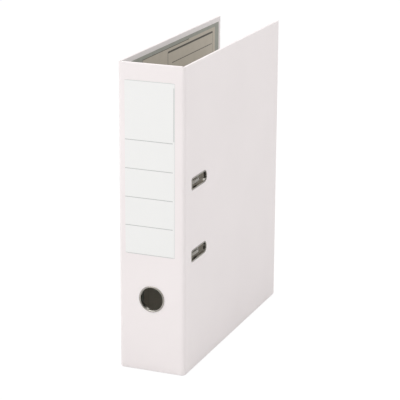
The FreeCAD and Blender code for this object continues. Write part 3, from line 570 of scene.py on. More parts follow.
# %% Finishes: metals
def metal_finish(name, tone, shade, shine, line_scale, stretch, depth):
    material, tree, shader = new_finish(name, metallic=1.0)
    metal = use_group(tree, "rolled_metal", {"Line Scale": line_scale, "Line Stretch": stretch})
    cloud = spread(tree, metal["Cloud"], 0.3, 0.7)
    tree.links.new(blend_tones(tree, cloud, shade, tone), shader.inputs["Base Color"])
    tree.links.new(
        spread(tree, metal["Cloud"], 0.3, 0.7, shine, shine + 0.1), shader.inputs["Roughness"]
    )
    rough_surface(tree, shader, metal["Height"], 0.3, depth)
    finishes[name] = material


metal_finish("nickel_trim", (0.46, 0.44, 0.40), (0.38, 0.36, 0.33), 0.11, 1500, 0.5, 0.00001)
metal_finish("plated_sheet", (0.66, 0.67, 0.68), (0.56, 0.57, 0.59), 0.3, 900, 0.04, 0.00002)
metal_finish("bright_wire", (0.42, 0.40, 0.37), (0.36, 0.34, 0.31), 0.13, 1800, 0.2, 0.000006)
metal_finish("plated_pins", (0.68, 0.67, 0.65), (0.58, 0.57, 0.55), 0.25, 1500, 1.0, 0.00001)
metal_finish("spring_steel", (0.42, 0.42, 0.43), (0.34, 0.34, 0.36), 0.28, 900, 0.1, 0.00001)

# %% Finish: roller plastic
material, tree, shader = new_finish("roller_plastic", roughness=0.4, specular=0.5)
grain = use_group(tree, "film_grain", {"Grain Scale": 1800, "Wave Scale": 200})
speckle = spread(tree, grain["Tone"], 0.3, 0.7)
tree.links.new(
    blend_tones(tree, speckle, (0.70, 0.68, 0.62), (0.76, 0.74, 0.69)),
    shader.inputs["Base Color"],
)
rough_surface(tree, shader, grain["Height"], 0.3, 0.00002)
finishes["roller_plastic"] = material
print("finishes:", sorted(finishes))

# %% [markdown]
# ## The case
# The case is made of two layers that matter to the eye: the film, which wraps the board and
# is folded in along the bottom, fore and top edges, and the lining inside. Corners of real
# wrapped board are softly rounded, and that thin rounding catches the light as a bright
# line. So each wrap is built as a real folded film: a profile with two rounded turns is
# carried round the edges, and the flat face is filled in with its holes.


# %% Helper: finish a mesh as an object with clean shading
def link_piece(name, bm, finish, nodes=(), sharp=38, weld=2e-6):
    """Turn bmesh work into an object with clean shading."""
    bmesh.ops.remove_doubles(bm, verts=bm.verts, dist=weld)
    bmesh.ops.recalc_face_normals(bm, faces=bm.faces)
    mesh = bpy.data.meshes.new(name)
    bm.to_mesh(mesh)
    bm.free()
    mesh.shade_smooth()
    mesh.set_sharp_from_angle(angle=math.radians(sharp))
    mesh.materials.append(finishes[finish])
    piece = bpy.data.objects.new(name, mesh)
    bpy.context.collection.objects.link(piece)
    even = piece.modifiers.new("even_shading", "WEIGHTED_NORMAL")
    even.keep_sharp = True
    even.weight = 100
    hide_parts(*nodes)
    return piece


def arc(centre, radius, start, end, steps):
    """Points on an arc in a plane, angles in degrees."""
    angles = [math.radians(start + (end - start) * i / steps) for i in range(steps + 1)]
    across, up = centre
    return [(across + radius * math.cos(a), up + radius * math.sin(a)) for a in angles]


def join_rows(bm, rows, closed=False):
    """Faces between neighbouring rows of vertices."""
    count = len(rows[0])
    for first, second in zip(rows, rows[1:]):
        for i in range(count if closed else count - 1):
            k = (i + 1) % count
            bm.faces.new((first[i], first[k], second[k], second[i]))


# %% [markdown]
# The folded film's profile is measured by two numbers: how far in from the edge, and how
# deep from the outer face. Outside and inside follow the same two turns, a film apart.

# %% Profile of the folded film
FILM = 0.3 * MM
WALL = 2.6 * MM
TURN_RADIUS = 0.85 * MM


def folded_profile(reach, wall=WALL, radius=TURN_RADIUS, steps=5):
    """(in from the edge, deep from the outer face) points, outside first, then inside."""
    outside = arc((radius, radius), radius, 270, 180, steps)
    outside += arc((radius, wall - radius), radius, 180, 90, steps)
    outside += [(reach - FILM / 2, wall), (reach, wall - FILM / 2), (reach, wall - FILM)]
    bend = radius - FILM
    inside = arc((radius, wall - radius), bend, 90, 180, steps)
    inside += arc((radius, radius), bend, 180, 270, steps)
    return outside + inside


# %% [markdown]
# To fill a flat face with holes, `fill_face` takes closed rings of vertices and lets Blender
# triangulate between them. The face is flat, so the triangles never show.


# %% Helpers: fill flat faces, walls of holes
def ring_edges(bm, ring):
    found = []
    for i, first in enumerate(ring):
        second = ring[(i + 1) % len(ring)]
        found.append(bm.edges.get((first, second)) or bm.edges.new((first, second)))
    return found


def fill_face(bm, rings):
    edges = [edge for ring in rings for edge in ring_edges(bm, ring)]
    bmesh.ops.triangle_fill(bm, use_beauty=True, use_dissolve=False, edges=edges)


def rounded_slot(low, high, near_round, far_round, grow=0.0, steps=6):
    """Outline in (Y, Z) with tighter corners near the spine and rounder ones far from it."""
    near, far = near_round + grow, far_round + grow
    y0, y1 = low[0] - grow, high[0] + grow
    z0, z1 = low[1] - grow, high[1] + grow
    points = arc((y0 + near, z0 + near), near, 180, 270, steps)
    points += arc((y1 - far, z0 + far), far, 270, 360, steps)
    points += arc((y1 - far, z1 - far), far, 0, 90, steps)
    points += arc((y0 + near, z1 - near), near, 90, 180, steps)
    return points


# %% [markdown]
# `wrap_film` puts it together. `paths` are the edges that the film folds over, given as
# functions of the distance in from the edge; `to_room` turns (along, up, deep) into a real
# place. The covers fold over three edges in one go, with small rounded corners; the spine
# folds over its top and its bottom.


# %% Build one wrapped film
def wrap_film(name, node, body, paths, to_room, holes, reach):
    bm = bmesh.new()
    profile = folded_profile(reach)
    outer_ring, inner_ring = [], []
    for path in paths:
        rows = []
        for inward, deep in profile:
            rows.append([bm.verts.new(to_room(u, v, deep)) for u, v in path(inward)])
        join_rows(bm, rows)
        bm.faces.new([row[0] for row in rows])
        bm.faces.new([row[-1] for row in rows])
        outer_ring.append(rows[0])
        inner_ring.append(rows[-1])
    for k, outer in enumerate(outer_ring):
        after = (k + 1) % len(paths)
        bm.faces.new((outer[-1], outer_ring[after][0], inner_ring[after][0], inner_ring[k][-1]))
    hole_rings = []
    for hole in holes:
        top = [bm.verts.new(to_room(u, v, 0)) for u, v in hole]
        base = [bm.verts.new(to_room(u, v, FILM)) for u, v in hole]
        join_rows(bm, [top, base], closed=True)
        hole_rings.append((top, base))
    fill_face(bm, [sum(outer_ring, [])] + [pair[0] for pair in hole_rings])
    fill_face(bm, [sum(inner_ring, [])] + [pair[1] for pair in hole_rings])
    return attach(link_piece(name, bm, "covering_film", [node], sharp=50), body)


CORNER = 1.1 * MM


def three_edges(inward):
    """Bottom, fore and top edge of a cover, with small round corners."""
    radius = max(CORNER - inward, 0.12 * MM)
    side = fore_y - inward
    low, high = inward, top_z - inward
    points = [(panel_y, low), ((panel_y + side) / 2, low)]
    points += arc((side - radius, low + radius), radius, 270, 360, 4)
    points += [(side, top_z / 2)]
    points += arc((side - radius, high - radius), radius, 0, 90, 4)
    return points + [((panel_y + side) / 2, high), (panel_y, high)]


# %% Slots of the front cover
SLOT_WALL = 0.4 * MM
SLOT_RIM = 1.7 * MM
NEAR_ROUND = 1.6 * MM
FAR_ROUND = 5.0 * MM
slots = {}
for level in ("lower", "upper"):
    low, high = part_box(f"slot_eyelet_{level}")
    slots[level] = (
        (low.y + SLOT_RIM, low.z + SLOT_RIM),
        (high.y - SLOT_RIM, high.z - SLOT_RIM),
    )
slot_holes = [
    rounded_slot(low, high, NEAR_ROUND, FAR_ROUND, grow=SLOT_WALL + 0.05 * MM)
    for low, high in slots.values()
]

# %% Rivet places of the rear cover
RIVET_HEAD = 4.5 * MM
rivet_low, rivet_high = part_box("case_rivets")
rivet_places = [
    (y, z)
    for y in (rivet_low.y + RIVET_HEAD, rivet_high.y - RIVET_HEAD)
    for z in (rivet_low.z + RIVET_HEAD, rivet_high.z - RIVET_HEAD)
]
rivet_holes = [arc(place, 2.05 * MM, 0, 345, 23) for place in rivet_places]

# %% Wrap the two covers
wrap_film(
    "front_cover_film", "front_covering", "front_cover", [three_edges],
    lambda y, z, deep: (front_x - deep, y, z), slot_holes, turn_in,
)
wrap_film(
    "rear_cover_film", "rear_covering", "rear_cover", [three_edges],
    lambda y, z, deep: (rear_x + deep, y, z), rivet_holes, turn_in,
)

# %% [markdown]
# The spine's film has one hole, for the finger ring. It is round, so its ring of points is
# finer than the rivets'.

# %% Wrap the spine
ring_low, ring_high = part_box("finger_ring")
ring_centre = ((ring_low.x + ring_high.x) / 2, (ring_low.z + ring_high.z) / 2)
RING_HOLE = 13.1 * MM


def spine_foot(inward):
    return [(panel_x * share, inward) for share in (-1, -1 / 3, 1 / 3, 1)]


def spine_top(inward):
    return [(x, top_z - inward) for x, _ in reversed(spine_foot(inward))]


wrap_film(
    "spine_film", "spine_covering", "spine", [spine_foot, spine_top],
    lambda x, z, deep: (x, spine_y + deep, z),
    [arc(ring_centre, RING_HOLE, 0, 354, 59)], turn_in,
)

# %% [markdown]
# ### Corner strips
# Between the spine and each cover there is no board, only film: that is the hinge. Each
# strip is a quarter of a thin tube with its ends folded in. As the case opens, the
# strip bends with it. A second, inner strip of lining paper is built the same way.


# %% Build the corner strips
END_PULL = 0.3 * MM  # the film is drawn in a little at the ends of each corner


def corner_strip(name, side, radius, loop, finish, nodes):
    """Sweep a closed (inward offset, height) loop through the quarter bend."""
    bm = bmesh.new()
    rows = []
    for angle in (math.radians(a) for a in range(0, 91, 6)):
        out_x, out_y = math.cos(angle), -math.sin(angle)
        row = []
        pulled = END_PULL * math.sin(2 * angle) ** 2
        for deep, height in loop:
            if height < turn_in / 2:
                height += pulled
            elif height > top_z - turn_in / 2:
                height -= pulled
            reach = radius - deep
            row.append(bm.verts.new(
                (side * (panel_x + reach * out_x), panel_y + reach * out_y, height)
            ))
        rows.append(row)
    join_rows(bm, rows, closed=True)
    bm.faces.new(rows[0])
    bm.faces.new(rows[-1])
    strip = link_piece(name, bm, finish, nodes)
    if side > 0:
        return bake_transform(strip)
    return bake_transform(strip)


END_FOLD = 0.7 * MM
fold = folded_profile(turn_in, wall=1.8 * MM, radius=END_FOLD, steps=4)
strip_loop = [(deep, inward) for inward, deep in fold]
strip_loop += [(deep, top_z - inward) for inward, deep in reversed(fold)]
paper_loop = [
    (0.33 * MM, turn_in + FILM), (0.33 * MM, top_z - turn_in - FILM),
    (0.48 * MM, top_z - turn_in - FILM), (0.48 * MM, turn_in + FILM),
]
for label, side in (("front", 1), ("rear", -1)):
    corner_strip(
        f"{label}_corner_film", side, corner_radius, strip_loop, "covering_film",
        [f"{label}_hinge_strip"],
    )
    corner_strip(f"{label}_corner_lining", side, corner_radius, paper_loop, "lining_paper", [])


# %% [markdown]
# The lining paper also turns over the board edges beside each corner strip. Four narrow
# angles of paper hide the raw board there: one on each cover and two on the spine.


# %% Build the paper edges beside the corners
def paper_edge(name, body, corners, thick=0.12 * MM):
    """Thin angle of paper along (x, y) corners, the full height between the folded ends."""
    bm = bmesh.new()
    lower, upper = turn_in + 0.2 * MM, top_z - turn_in - 0.2 * MM
    first, bend, last = (Vector((*corner, 0)) for corner in corners)
    to_first, to_last = (first - bend).normalized(), (last - bend).normalized()
    radius = 0.4 * MM
    path = [first]
    for i in range(6):
        angle = math.pi / 2 * i / 5
        path.append(
            bend + (to_first + to_last) * radius
            - to_last * radius * math.cos(angle) - to_first * radius * math.sin(angle)
        )
    path.append(last)
    rows = []
    for index, point in enumerate(path):
        share = min(max((index - 1) / 5, 0), 1)
        angle = math.pi / 2 * share
        away = -to_last * math.cos(angle) - to_first * math.sin(angle)
        shifted = point + away * thick
        rows.append([
            bm.verts.new((p.x, p.y, z))
            for p, z in ((point, lower), (point, upper), (shifted, upper), (shifted, lower))
        ])
    join_rows(bm, rows, closed=True)
    bm.faces.new(rows[0])
    bm.faces.new(rows[-1])
    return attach(link_piece(name, bm, "lining_paper"), body)


inner_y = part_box("spine_lining")[1].y
PAPER_LAP = 3 * MM
DEEP_EDGE = 2.05 * MM
for label, side, body in (("front", 1, "front_cover"), ("rear", -1, "rear_cover")):
    paper_edge(
        f"{label}_paper_edge", body,
        [
            (side * inner_x, panel_y + PAPER_LAP),
            (side * inner_x, panel_y),
            (side * (inner_x + DEEP_EDGE), panel_y),
        ],
    )
    paper_edge(
        f"spine_paper_edge_{label}", "spine",
        [
            (side * (panel_x - PAPER_LAP), inner_y),
            (side * panel_x, inner_y),
            (side * panel_x, inner_y - DEEP_EDGE),
        ],
    )

# %% [markdown]
# ### Finish the plain layers
# Boards and linings have the right shape already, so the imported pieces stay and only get
# their finish. They are flat, and their edges are hidden by the folded film.


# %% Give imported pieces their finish
def repaint(finish, *nodes):
    for node in nodes:
        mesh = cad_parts[node].data
        mesh.materials.clear()
        mesh.materials.append(finishes[finish])


repaint("grey_board", "front_board", "rear_board", "spine_board")
repaint("lining_paper", "front_lining", "rear_lining", "spine_lining")
repaint("index_paper", "index_sheet")

# %% [markdown]
# ### Spine label
# The label is a separate sheet of paper stuck on the film. Its corners are rounded by less
# than a millimetre, and its rim is pressed a little flatter than its middle.

# %% Build the label
LABEL_ROUND = 0.8 * MM
label_thick = spine_y - label_low.y
bm = bmesh.new()
across = [0, 0.0012] + [0.06 + 0.88 * i / 16 for i in range(17)] + [0.9988, 1]
up = [0, 0.0004] + [0.02 + 0.96 * i / 20 for i in range(21)] + [0.9996, 1]
width, height = label_high.x - label_low.x, label_high.z - label_low.z


def label_point(u, v, deep):
    """A point of the sheet, its rim pressed down and its corners rounded."""
    x, z = u * width, v * height
    corner_x, corner_z = min(x, width - x), min(z, height - z)
    if corner_x < LABEL_ROUND and corner_z < LABEL_ROUND:
        bite = LABEL_ROUND - math.sqrt(max(LABEL_ROUND**2 - (LABEL_ROUND - corner_x) ** 2, 0))
        z = min(max(z, bite), height - bite)
    rim = min(corner_x, corner_z)
    crown = label_thick if rim > 0.05 * MM else label_thick * 0.55
    return (label_low.x + x, spine_y - (crown if deep == 0 else 0), label_low.z + z)


front_rows = [[bm.verts.new(label_point(u, v, 0)) for u in across] for v in up]
back_rows = [[bm.verts.new(label_point(u, v, 1)) for u in across] for v in up]
join_rows(bm, front_rows)
join_rows(bm, back_rows)
for rows in (
    [front_rows[0], back_rows[0]],
    [front_rows[-1], back_rows[-1]],
    [[row[0] for row in front_rows], [row[0] for row in back_rows]],
    [[row[-1] for row in front_rows], [row[-1] for row in back_rows]],
):
    join_rows(bm, rows)
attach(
    link_piece("spine_label_sheet", bm, "label_paper", ["spine_label"], sharp=60), "spine"
)

# %% [markdown]
# ## Metal trim
# The finger ring is a rolled eyelet: a bright bead outside, a smooth barrel through the
# spine, and a curl that grips a washer inside. Anything round is quickest to make
# on a lathe, so `lathe` spins a profile of (radius, along) points about an axis. The bead
# is drawn as an arc so that it takes light like real rolled metal.


# %% Helper: lathe
TO_FRONT = Matrix(((0, 0, 1), (0, 1, 0), (-1, 0, 0)))
TO_REAR = Matrix(((0, 0, -1), (0, 1, 0), (1, 0, 0)))
TO_SPINE = Matrix(((1, 0, 0), (0, 0, -1), (0, 1, 0)))
TO_FORE = Matrix(((1, 0, 0), (0, 0, 1), (0, -1, 0)))


def lathe(name, profile, turn, centre, finish, body, nodes=(), closed=False, steps=64):
    """Spin (radius, along) points; along follows the turned axis from the centre."""
    bm = bmesh.new()
    rows = []
    for step in range(steps):
        angle = math.tau * step / steps
        spoke = (math.cos(angle), math.sin(angle))
        rows.append([
            bm.verts.new(turn @ Vector((r * spoke[0], r * spoke[1], a)) + Vector(centre))
            for r, a in profile
        ])
    join_rows(bm, rows + [rows[0]], closed=closed)
    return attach(link_piece(name, bm, finish, nodes, weld=1e-7), body)


# %% Build the finger ring and its washer
BORE, FLANGE, BARREL = 12.6 * MM, 14.7 * MM, 13.05 * MM
inside_face = -3.0 * MM
curl = 0.5 * MM
bead = arc((FLANGE - 0.55 * MM, 0.4 * MM), 0.5 * MM, -40, 80, 7)
bead += arc((BORE + 0.95 * MM, 0.0 * MM), 0.9 * MM, 80, 180, 9)
ring_profile = [(BARREL, 0.0), (FLANGE - 0.2 * MM, 0.0)] + bead
ring_profile += [(BORE + 0.03 * MM, inside_face)]
ring_profile += arc((BORE + curl, inside_face), curl * 0.98, 180, 360, 8)
ring_profile += [(BARREL, inside_face)]
ring_place = (ring_centre[0], spine_y, ring_centre[1])
lathe(
    "finger_ring_rolled", ring_profile, TO_SPINE, ring_place, "nickel_trim", "spine",
    ["finger_ring"], closed=True, steps=96,
)
washer_profile = [(BARREL + 0.1 * MM, -3.0 * MM), (FLANGE - 0.15 * MM, -3.0 * MM)]
washer_profile += [(FLANGE, -2.85 * MM), (FLANGE, -2.5 * MM), (BARREL + 0.1 * MM, -2.5 * MM)]
lathe(
    "finger_ring_washer_disc", washer_profile, TO_SPINE, ring_place, "nickel_trim", "spine",
    ["finger_ring_washer"], closed=True, steps=96,
)


# %% [markdown]
# ### Slot rims
# Each slot in the front cover has a pressed rim of the same metal. It is not round, so
# instead of a lathe the profile is carried round the slot's outline, growing it outward by
# the profile's reach. Inside the cover a flat frame backs it.


# %% Build the slot rims
def slot_sweep(name, level, profile, body, node):
    """Carry a closed (grow, x) profile round a slot."""
    bm = bmesh.new()
    low, high = slots[level]
    rows = []
    for grow, x in profile:
        outline = rounded_slot(low, high, NEAR_ROUND, FAR_ROUND, grow, steps=9)
        rows.append([bm.verts.new((x, y, z)) for y, z in outline])
    join_rows(bm, rows + [rows[0]], closed=True)
    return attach(link_piece(name, bm, "nickel_trim", [node], weld=1e-7), body)


SLOT_PROUD = 0.5 * MM
backing_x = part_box("slot_backing_lower")[0].x
rim_profile = [
    (SLOT_RIM - 0.02 * MM, front_x), (SLOT_RIM, front_x + 0.12 * MM),
    (SLOT_RIM - 0.12 * MM, front_x + 0.30 * MM), (SLOT_RIM - 0.38 * MM, front_x + 0.44 * MM),
    (1.0 * MM, front_x + SLOT_PROUD), (0.55 * MM, front_x + 0.47 * MM),
    (0.22 * MM, front_x + 0.32 * MM), (0.05 * MM, front_x + 0.05 * MM),
    (0.0, front_x - 0.4 * MM), (0.0, backing_x), (SLOT_WALL, backing_x), (SLOT_WALL, front_x),
]
frame_profile = [
    (SLOT_WALL + 0.05 * MM, backing_x), (SLOT_RIM - 0.12 * MM, backing_x),
    (SLOT_RIM, backing_x + 0.12 * MM), (SLOT_RIM, inner_x), (SLOT_WALL + 0.05 * MM, inner_x),
]
for level in slots:
    slot_sweep(
        f"slot_rim_{level}", level, rim_profile, "front_cover", f"slot_eyelet_{level}"
    )
    slot_sweep(
        f"slot_frame_{level}", level, frame_profile, "front_cover", f"slot_backing_{level}"
    )
print("slots:", {level: [round(v / MM, 1) for v in low] for level, (low, _) in slots.items()})

# %% [markdown]
# ## The lever mechanism
# The mechanism sits on a plate inside the rear cover. Its sheet parts come from the packed
# model with sharp edges, but pressed steel has eased edges that catch light. `eased` copies
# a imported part, merges its flat triangles into whole faces, and bevels every real edge by a
# fraction of a millimetre.


# %% Helper: eased copy of a sheet part
def eased(name, node, body, finish, width, segments=2):
    bm = bmesh.new()
    bm.from_mesh(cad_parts[node].data)
    bmesh.ops.remove_doubles(bm, verts=bm.verts, dist=2e-6)
    bmesh.ops.dissolve_limit(
        bm, angle_limit=math.radians(1), verts=bm.verts, edges=bm.edges, delimit=set()
    )
    piece = link_piece(name, bm, finish, [node])
    bevel = piece.modifiers.new("eased_edges", "BEVEL")
    bevel.limit_method = "ANGLE"
    bevel.angle_limit = math.radians(40)
    bevel.width = width
    bevel.segments = segments
    piece.modifiers.move(1, 0)
    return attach(piece, body)


eased("mechanism_plate", "base_plate", "rear_cover", "plated_sheet", 0.25 * MM)
eased("lever_arm_pressing", "lever", "lever_arm", "plated_sheet", 0.3 * MM)
eased("compressor_strip", "compressor_bar", "compressor", "plated_sheet", 0.2 * MM)
for level in ("lower", "upper"):
    eased(
        f"{level}_catch_plate", f"catch_{level}", f"{level}_catch", "spring_steel", 0.15 * MM
    )

# %% [markdown]
# ### Posts, pins and rivets
# These are all turned or headed parts, so they come off the lathe. The filing posts are
# plain rods with a collar; their tips have a small cup where the arch's point rests. Rivet
# heads are low domes.

# %% Turn the posts
plate_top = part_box("post_lower")[1].x - 34.5 * MM
for level in ("lower", "upper"):
    low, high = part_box(f"post_{level}")
    centre_y, centre_z = (low.y + high.y) / 2, (low.z + high.z) / 2
    tall = high.x - plate_top
    foot_radius = (high.y - low.y) / 2
    post_profile = [(0.0, -1.2 * MM), (1.6 * MM, -1.2 * MM), (1.6 * MM, 0.0)]
    post_profile += [(foot_radius, 0.0), (foot_radius, 0.8 * MM)]
    post_profile += arc((foot_radius - 0.4 * MM, 0.8 * MM), 0.4 * MM, 15, 90, 4)
    post_profile += arc((2.5 * MM, 1.6 * MM), 0.4 * MM, 270, 180, 3)
    post_profile += [(2.1 * MM, tall / 2), (2.1 * MM, tall - 0.3 * MM)]
    post_profile += [(2.02 * MM, tall - 0.1 * MM), (1.8 * MM, tall)]
    post_profile += [(1.5 * MM, tall - 0.05 * MM), (1.0 * MM, tall - 0.7 * MM)]
    post_profile += [(0.4 * MM, tall - 1.3 * MM), (0.0, tall - 1.5 * MM)]
    lathe(
        f"filing_post_{level}", post_profile, TO_FRONT, (plate_top, centre_y, centre_z),
        "bright_wire", "rear_cover", [f"post_{level}"], steps=32,
    )


# %% Head the case rivets
def dome(radius, height, steps=7):
    """Profile of a low domed head, from its rim to its middle."""
    rise = (radius**2 + height**2) / (2 * height)
    span = math.degrees(math.asin(min(radius / rise, 1.0)))
    return arc((0.0, height - rise), rise, 90 - span, 90, steps)[:-1] + [(0.0, height)]


inside_end = rivet_high.x - rear_x
rivet_profile = [(0.0, -inside_end), (2.7 * MM, -inside_end)]
rivet_profile += [(3.0 * MM, 0.25 * MM - inside_end), (3.0 * MM, 0.8 * MM - inside_end)]
rivet_profile += [(2.0 * MM, 0.8 * MM - inside_end), (2.0 * MM, 0.0), (RIVET_HEAD, 0.0)]
rivet_profile += dome(RIVET_HEAD - 0.05 * MM, 0.88 * MM)
for number, (y, z) in enumerate(rivet_places, 1):
    lathe(
        f"case_rivet_{number}", rivet_profile, TO_REAR, (rear_x, y, z), "nickel_trim",
        "rear_cover", ["case_rivets"], steps=40,
    )

# %% Lever pin, roller and roller pin
pin_low, pin_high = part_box("lever_pin")
pin_place = Vector((pin_low + pin_high) / 2)
half = (pin_high.y - pin_low.y) / 2
pin_profile = [(0.0, -half), (1.4 * MM, -half), (2.6 * MM, 0.25 * MM - half)]
pin_profile += [(3.0 * MM, 0.6 * MM - half), (3.0 * MM, 1.0 * MM - half)]
pin_profile += [(2.0 * MM, 1.0 * MM - half)]
pin_profile += [(radius, -along) for radius, along in reversed(pin_profile)]
lathe("lever_pin_headed", pin_profile, TO_FORE, pin_place, "plated_pins", "rear_cover",
      ["lever_pin"], steps=40)

roller_low, roller_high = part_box("roller")
roller_place = Vector((roller_low + roller_high) / 2)
half = (roller_high.y - roller_low.y) / 2
radius = (roller_high.x - roller_low.x) / 2
roller_profile = [(1.56 * MM, -half), (radius - 0.7 * MM, -half)]
roller_profile += arc((radius - 0.6 * MM, 0.6 * MM - half), 0.6 * MM, 280, 360, 4)
roller_profile += arc((radius - 0.6 * MM, half - 0.6 * MM), 0.6 * MM, 0, 80, 4)
roller_profile += [(radius - 0.7 * MM, half), (1.56 * MM, half)]
lathe("lever_roller", roller_profile, TO_FORE, roller_place, "roller_plastic", "roller_wheel",
      ["roller"], closed=True, steps=48)

small_low, small_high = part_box("roller_pin")
half = (small_high.y - small_low.y) / 2
radius = (small_high.x - small_low.x) / 2
small_profile = [(0.0, -half), (radius - 0.2 * MM, -half), (radius, 0.2 * MM - half)]
small_profile += [(r, -along) for r, along in reversed(small_profile)]
lathe("lever_roller_pin", small_profile, TO_FORE, roller_place, "plated_pins", "lever_arm",
      ["roller_pin"], steps=28)

# %% Catch pins and the spring's rivet
for level in ("lower", "upper"):
    low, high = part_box(f"catch_pin_{level}")
    half = (high.y - low.y) / 2
    radius = (high.x - low.x) / 2
    short = [(0.0, -half), (radius - 0.15 * MM, -half), (radius, 0.15 * MM - half)]
    short += [(r, -along) for r, along in reversed(short)]
    lathe(f"{level}_catch_hinge_pin", short, TO_FORE, Vector((low + high) / 2),
          "plated_pins", "compressor", [f"catch_pin_{level}"], steps=24)

low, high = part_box("spring_rivet")
head_radius = (high.y - low.y) / 2
thick = high.x - low.x
stud = [(0.0, 0.0), (1.5 * MM, 0.0), (1.5 * MM, 0.7 * MM), (head_radius, 0.7 * MM)]
stud += [(r, along + 0.7 * MM) for r, along in dome(head_radius - 0.05 * MM, thick - 0.72 * MM)]
stud_place = (low.x, (low.y + high.y) / 2, (low.z + high.z) / 2)
lathe("spring_rivet_head", stud, TO_FRONT, stud_place, "plated_pins", "rear_cover",
      ["spring_rivet"], steps=32)

# %% [markdown]
# ### Arch wire
# Both arches are one wire: down from each tip round the crest, along the shaft, and out to a
# crank in the middle that the lever's roller presses. The wire is thick and bent cold, so
# its bends are clean quarter rounds. A tube is carried along the bent centre line, and its
# tips are turned to points.

# %% Bend the arch wire
WIRE = 2.1 * MM
arch_low, arch_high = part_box("arch_wire")
shaft_x, shaft_y = arch_low.x + WIRE, arch_low.y + WIRE
crest_x, post_y = arch_high.x - WIRE, arch_high.y - WIRE
lower_z, upper_z = arch_low.z + WIRE, arch_high.z - WIRE
tip_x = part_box("post_lower")[1].x + 0.2 * MM
crank_y = pin_place.y
crank_high = pin_place.z - 5 * MM + 15 * MM
crank_low = crank_high - 30 * MM
FAR_BEND, NEAR_BEND, FOOT_BEND = 9.5 * MM, 9 * MM, 4.5 * MM
wire_corners = [
    ((tip_x, post_y, upper_z), 0),
    ((crest_x, post_y, upper_z), FAR_BEND),
    ((crest_x, shaft_y, upper_z), NEAR_BEND),
    ((shaft_x, shaft_y, upper_z), FOOT_BEND),
    ((shaft_x, shaft_y, crank_high), FOOT_BEND),
    ((shaft_x, crank_y, crank_high), FOOT_BEND),
    ((shaft_x, crank_y, crank_low), FOOT_BEND),
    ((shaft_x, shaft_y, crank_low), FOOT_BEND),
    ((shaft_x, shaft_y, lower_z), FOOT_BEND),
    ((crest_x, shaft_y, lower_z), NEAR_BEND),
    ((crest_x, post_y, lower_z), FAR_BEND),
    ((tip_x, post_y, lower_z), 0),
]


def bent_line(corners, steps=10):
    """Centre line through square corners with quarter-round bends."""
    places = [Vector(place) for place, _ in corners]
    line = [places[0]]
    for i in range(1, len(corners) - 1):
        radius = corners[i][1]
        back = (places[i - 1] - places[i]).normalized()
        ahead = (places[i + 1] - places[i]).normalized()
        middle = places[i] + (back + ahead) * radius
        for step in range(steps + 1):
            angle = math.pi / 2 * step / steps
            reach = ahead * radius * math.cos(angle) + back * radius * math.sin(angle)
            line.append(middle - reach)
    return line + [places[-1]]


TIP_LENGTH = 0.45 * MM  # how far behind the corner the wire is back to full size
# how far past the corner, and how thick, from the point inwards
WIRE_TIP = (
    (1.0 * MM, 0.2 * MM), (0.35 * MM, 0.9 * MM), (0.0, 1.25 * MM), (-0.1 * MM, 1.8 * MM),
)


def wire_tube(line, radius, round_steps=24):
    """Rows of rings along the line, with pointed tips at both ends."""
    start, end = (line[1] - line[0]).normalized(), (line[-2] - line[-1]).normalized()
    head = [(line[0] - start * step, r) for step, r in WIRE_TIP]
    head.append((line[0] + start * TIP_LENGTH, radius))
    tail = [(line[-1] - end * step, r) for step, r in WIRE_TIP]
    tail.append((line[-1] + end * TIP_LENGTH, radius))
    stations = head + [(place, radius) for place in line[1:-1]] + tail[::-1]
    points = [place for place, _ in stations]
    side = Vector((0, 0, 1))
    rows = []
    for i, (place, r) in enumerate(stations):
        along = (points[min(i + 1, len(points) - 1)] - points[max(i - 1, 0)]).normalized()
        side = (side - along * side.dot(along)).normalized()
        other = along.cross(side)
        rows.append([
            place + (side * math.cos(a) + other * math.sin(a)) * r
            for a in (math.tau * k / round_steps for k in range(round_steps))
        ])
    return rows


bm = bmesh.new()
rows = [[bm.verts.new(p) for p in row] for row in wire_tube(bent_line(wire_corners), WIRE)]
join_rows(bm, rows, closed=True)
bm.faces.new(rows[0])
bm.faces.new(rows[-1])
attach(link_piece("arch_wire_bent", bm, "bright_wire", ["arch_wire"], sharp=50), "arches")

# %% [markdown]
# ### Leaf spring
# A thin leaf is riveted to the plate and its free end presses up under the crank, so the arches
# spring open when the lever lets go. It bends as the crank rises. The bend starts clear of the
# compressor, which lies over its fixed half. It is cut many times along its length.

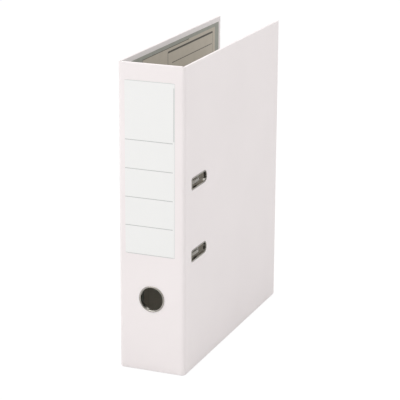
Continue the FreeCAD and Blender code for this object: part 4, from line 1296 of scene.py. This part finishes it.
# %% Build the leaf spring
leaf_low, leaf_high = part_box("leaf_spring")
LEAF_CUTS = 30
bm = bmesh.new()
rows = []
for step in range(LEAF_CUTS + 1):
    share = step / LEAF_CUTS
    y = leaf_high.y + (leaf_low.y - leaf_high.y) * share
    from_end = min(share, 1 - share) * (leaf_high.y - leaf_low.y)
    round_in = 1.5 * MM - math.sqrt(max((1.5 * MM) ** 2 - max(1.5 * MM - from_end, 0) ** 2, 0))
    bow = 0.1 * MM * math.sin(math.pi * share)
    base = leaf_low.x + bow
    top = leaf_high.x + bow - 0.1 * MM
    z0, z1 = leaf_low.z + round_in, leaf_high.z - round_in
    rim = 0.12 * MM
    section = [
        (base, z0 + rim), (base, z1 - rim), (base + rim, z1), (top - rim, z1),
        (top, z1 - rim), (top, z0 + rim), (top - rim, z0), (base + rim, z0),
    ]
    rows.append([bm.verts.new((x, y, z)) for x, z in section])
join_rows(bm, rows, closed=True)
bm.faces.new(rows[0])
bm.faces.new(rows[-1])
leaf = link_piece("arch_leaf_spring", bm, "spring_steel", ["leaf_spring"])
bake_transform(leaf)

# %% [markdown]
# ## Floor
# The case stands on a plain pale table. It is part of the stage. A little of its own glow
# keeps it white to the horizon, and the rest takes a faint soft shadow.

# %% Lay the floor
bm = bmesh.new()
bmesh.ops.create_grid(bm, x_segments=1, y_segments=1, size=12)
mesh = bpy.data.meshes.new("floor")
bm.to_mesh(mesh)
bm.free()
floor = bpy.data.objects.new("floor", mesh)
floor.location.z = -0.0002
bpy.context.collection.objects.link(floor)
material = bpy.data.materials.new("table_white")
material.use_nodes = True
tree = material.node_tree
shader = tree.nodes["Principled BSDF"]
shader.inputs["Base Color"].default_value = (0.62, 0.62, 0.62, 1)
shader.inputs["Roughness"].default_value = 0.9
shader.inputs["Specular IOR Level"].default_value = 0.1
glow = add_node(tree, "ShaderNodeEmission", {"Color": (1, 1, 1, 1), "Strength": 1.08})
ray = add_node(tree, "ShaderNodeLightPath").outputs["Is Camera Ray"]
blend = add_node(tree, "ShaderNodeMixShader", {0: spread(tree, ray, 0, 1, 0.0, 0.85)})
tree.links.new(shader.outputs[0], blend.inputs[1])
tree.links.new(glow.outputs[0], blend.inputs[2])
tree.links.new(blend.outputs[0], tree.nodes["Material Output"].inputs["Surface"])
mesh.materials.append(material)
